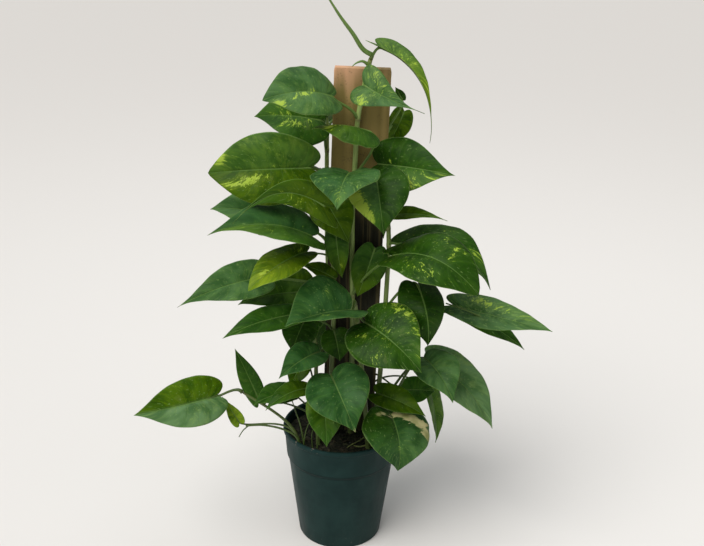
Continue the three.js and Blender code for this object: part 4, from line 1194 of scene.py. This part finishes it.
def make_crumbs(bark, chance):
    """Bark chips and finer crumbs: one knobbly pattern, copied, hacked about and strewn."""
    deselect()
    bpy.ops.mesh.primitive_ico_sphere_add(subdivisions=1, radius=1)
    pattern = bpy.context.object
    give_finishes(pattern, [bark])
    knobs = point_places(pattern.data)
    crumbs = []
    for number in range(BARK_CHIPS + FINE_CRUMBS):
        smallest, largest = (1.6, 3.6) if number < BARK_CHIPS else (0.7, 1.5)
        radius = 71 * math.sqrt(chance.uniform(0.01, 1))
        turn = chance.uniform(0, math.tau)
        size = chance.uniform(smallest, largest)
        shape = size * np.array([chance.uniform(low, high) for low, high in
                                 ((1.0, 2.1), (0.6, 1.1), (0.25, 0.55))])
        points = knobs * (1 + chance.normal(0, 0.16, knobs.shape)) * shape
        spin = Matrix.Rotation(chance.uniform(0, math.tau), 3, "Z")
        tilt = Matrix.Rotation(chance.normal(0, 0.5), 3, "X")
        points = points @ np.array(spin @ tilt).T
        level = soil_height(radius, turn, 0.3) + 0.25 * shape[2]
        points = points + np.array([radius * math.cos(turn), radius * math.sin(turn), level])
        crumb = pattern.copy()
        crumb.data = pattern.data.copy()
        bpy.context.scene.collection.objects.link(crumb)
        crumb.data.vertices.foreach_set("co", (points * MM).astype(np.float32).ravel())
        crumbs.append(crumb)
    bpy.data.objects.remove(pattern)
    return crumbs


def make_soil(dark, bark, pale_root):
    chance = np.random.default_rng(41)
    parts = [make_soil_body(dark, chance), *make_crumbs(bark, chance)]
    parts += [make_strand("loose_root", points, 1.1, 0.6, [pale_root], 0) for points in LOOSE_ROOTS]
    finish_piece(join_pieces(parts, "soil_mix"), "soil")


# ---------------------------------------------------------------- board

BOARD_WIDTH, BOARD_DEPTH, BOARD_LENGTH = 68.0, 19.0, 618.0
BOARD_LEAN = math.radians(1.1)
BOARD_FOOT = (6, 5, 15)
BOARD_ROWS = 150
POINTS_ACROSS, POINTS_DEEP = 27, 8
CORNER_GAP = 1.2


def sawn_relief(chance, count, corners):
    """How far each point of the sawn faces lies under the plain board: fibres, streaks and nicks."""
    fibres = chance.normal(0, 1, (BOARD_ROWS + 1, count))
    run = np.ones(9) / 9
    fibres = np.apply_along_axis(lambda line: np.convolve(line, run, "same"), 0, fibres)
    streaks = chance.normal(0, 1, count) * 0.12
    relief = -np.abs(0.55 * fibres + streaks)
    nicks = np.clip(chance.normal(0, 1, (BOARD_ROWS + 1, count)) - 1.3, 0, 1.4) * 0.9
    relief[:, corners] -= nicks[:, corners]
    return relief


def make_board(timber):
    """Rough-sawn board: sawn faces with raised fibres, knocked edges, a plain cut at each end."""
    half_width, half_depth = BOARD_WIDTH / 2, BOARD_DEPTH / 2
    across = np.linspace(-half_width + CORNER_GAP, half_width - CORNER_GAP, POINTS_ACROSS)
    deep = np.linspace(-half_depth + CORNER_GAP, half_depth - CORNER_GAP, POINTS_DEEP)
    ring = [(x, -half_depth) for x in across] + [(half_width, y) for y in deep]
    ring += [(x, half_depth) for x in across[::-1]] + [(-half_width, y) for y in deep[::-1]]
    faces = [POINTS_ACROSS, POINTS_DEEP, POINTS_ACROSS, POINTS_DEEP]
    facing = np.repeat([(0, -1), (1, 0), (0, 1), (-1, 0)], faces, axis=0)
    face_ends = np.cumsum(faces)
    corners = np.concatenate([face_ends - faces, face_ends - 1])
    relief = sawn_relief(np.random.default_rng(7), len(ring), corners)
    flat = np.array(ring) + facing * relief[..., None]
    for end in (0, BOARD_ROWS):
        flat[end] *= 1 - 0.9 / half_width
    flat = np.concatenate([flat, flat[:, :1]], axis=1)
    up = np.linspace(0, BOARD_LENGTH, BOARD_ROWS + 1)[:, None]
    leaning = np.stack([
        flat[..., 0] * math.cos(BOARD_LEAN) + up * math.sin(BOARD_LEAN),
        flat[..., 1],
        up * math.cos(BOARD_LEAN) - flat[..., 0] * math.sin(BOARD_LEAN),
    ], axis=-1)
    board, _, _ = bent_grid("board_sawn", leaning + BOARD_FOOT)
    edit_all(board, merge_doubles, close_open_ends, select_whole, face_outwards)
    give_finishes(board, [timber])
    smooth_but_crisp(board, 35)
    finish_piece(board, "board")


# ---------------------------------------------------------------- the whole plant

set_camera()
add_floor()
add_lights()

marks = leaf_marks_group()
grain = grain_group()
specks = speck_group()

foliage = [
    blade_finish("leaf_upper_side", marks, True),
    blade_finish("leaf_underside", marks, False),
    stalk_finish("leaf_stalk", grain, (0.150, 0.250, 0.050), (0.085, 0.165, 0.030), (0.16, 0.12, 0.05)),
    stalk_finish("vine_stem", grain, (0.360, 0.470, 0.150), (0.190, 0.290, 0.070), (0.15, 0.105, 0.05)),
    root_finish("aerial_root_brown", (0.17, 0.115, 0.06), (0.055, 0.036, 0.02)),
    stalk_finish("rolled_new_leaf", grain, (0.170, 0.270, 0.065), (0.085, 0.165, 0.032), (0.3, 0.25, 0.12)),
]
for order, (name, stem) in enumerate(STEMS.items()):
    make_vine(name, stem, order, foliage)
make_pot(pot_finish(specks))
loose_root_pale = root_finish("loose_root_pale", (0.20, 0.23, 0.075), (0.10, 0.12, 0.035))
make_soil(soil_finish(specks), bark_finish(grain), loose_root_pale)
make_board(timber_finish(grain, specks))
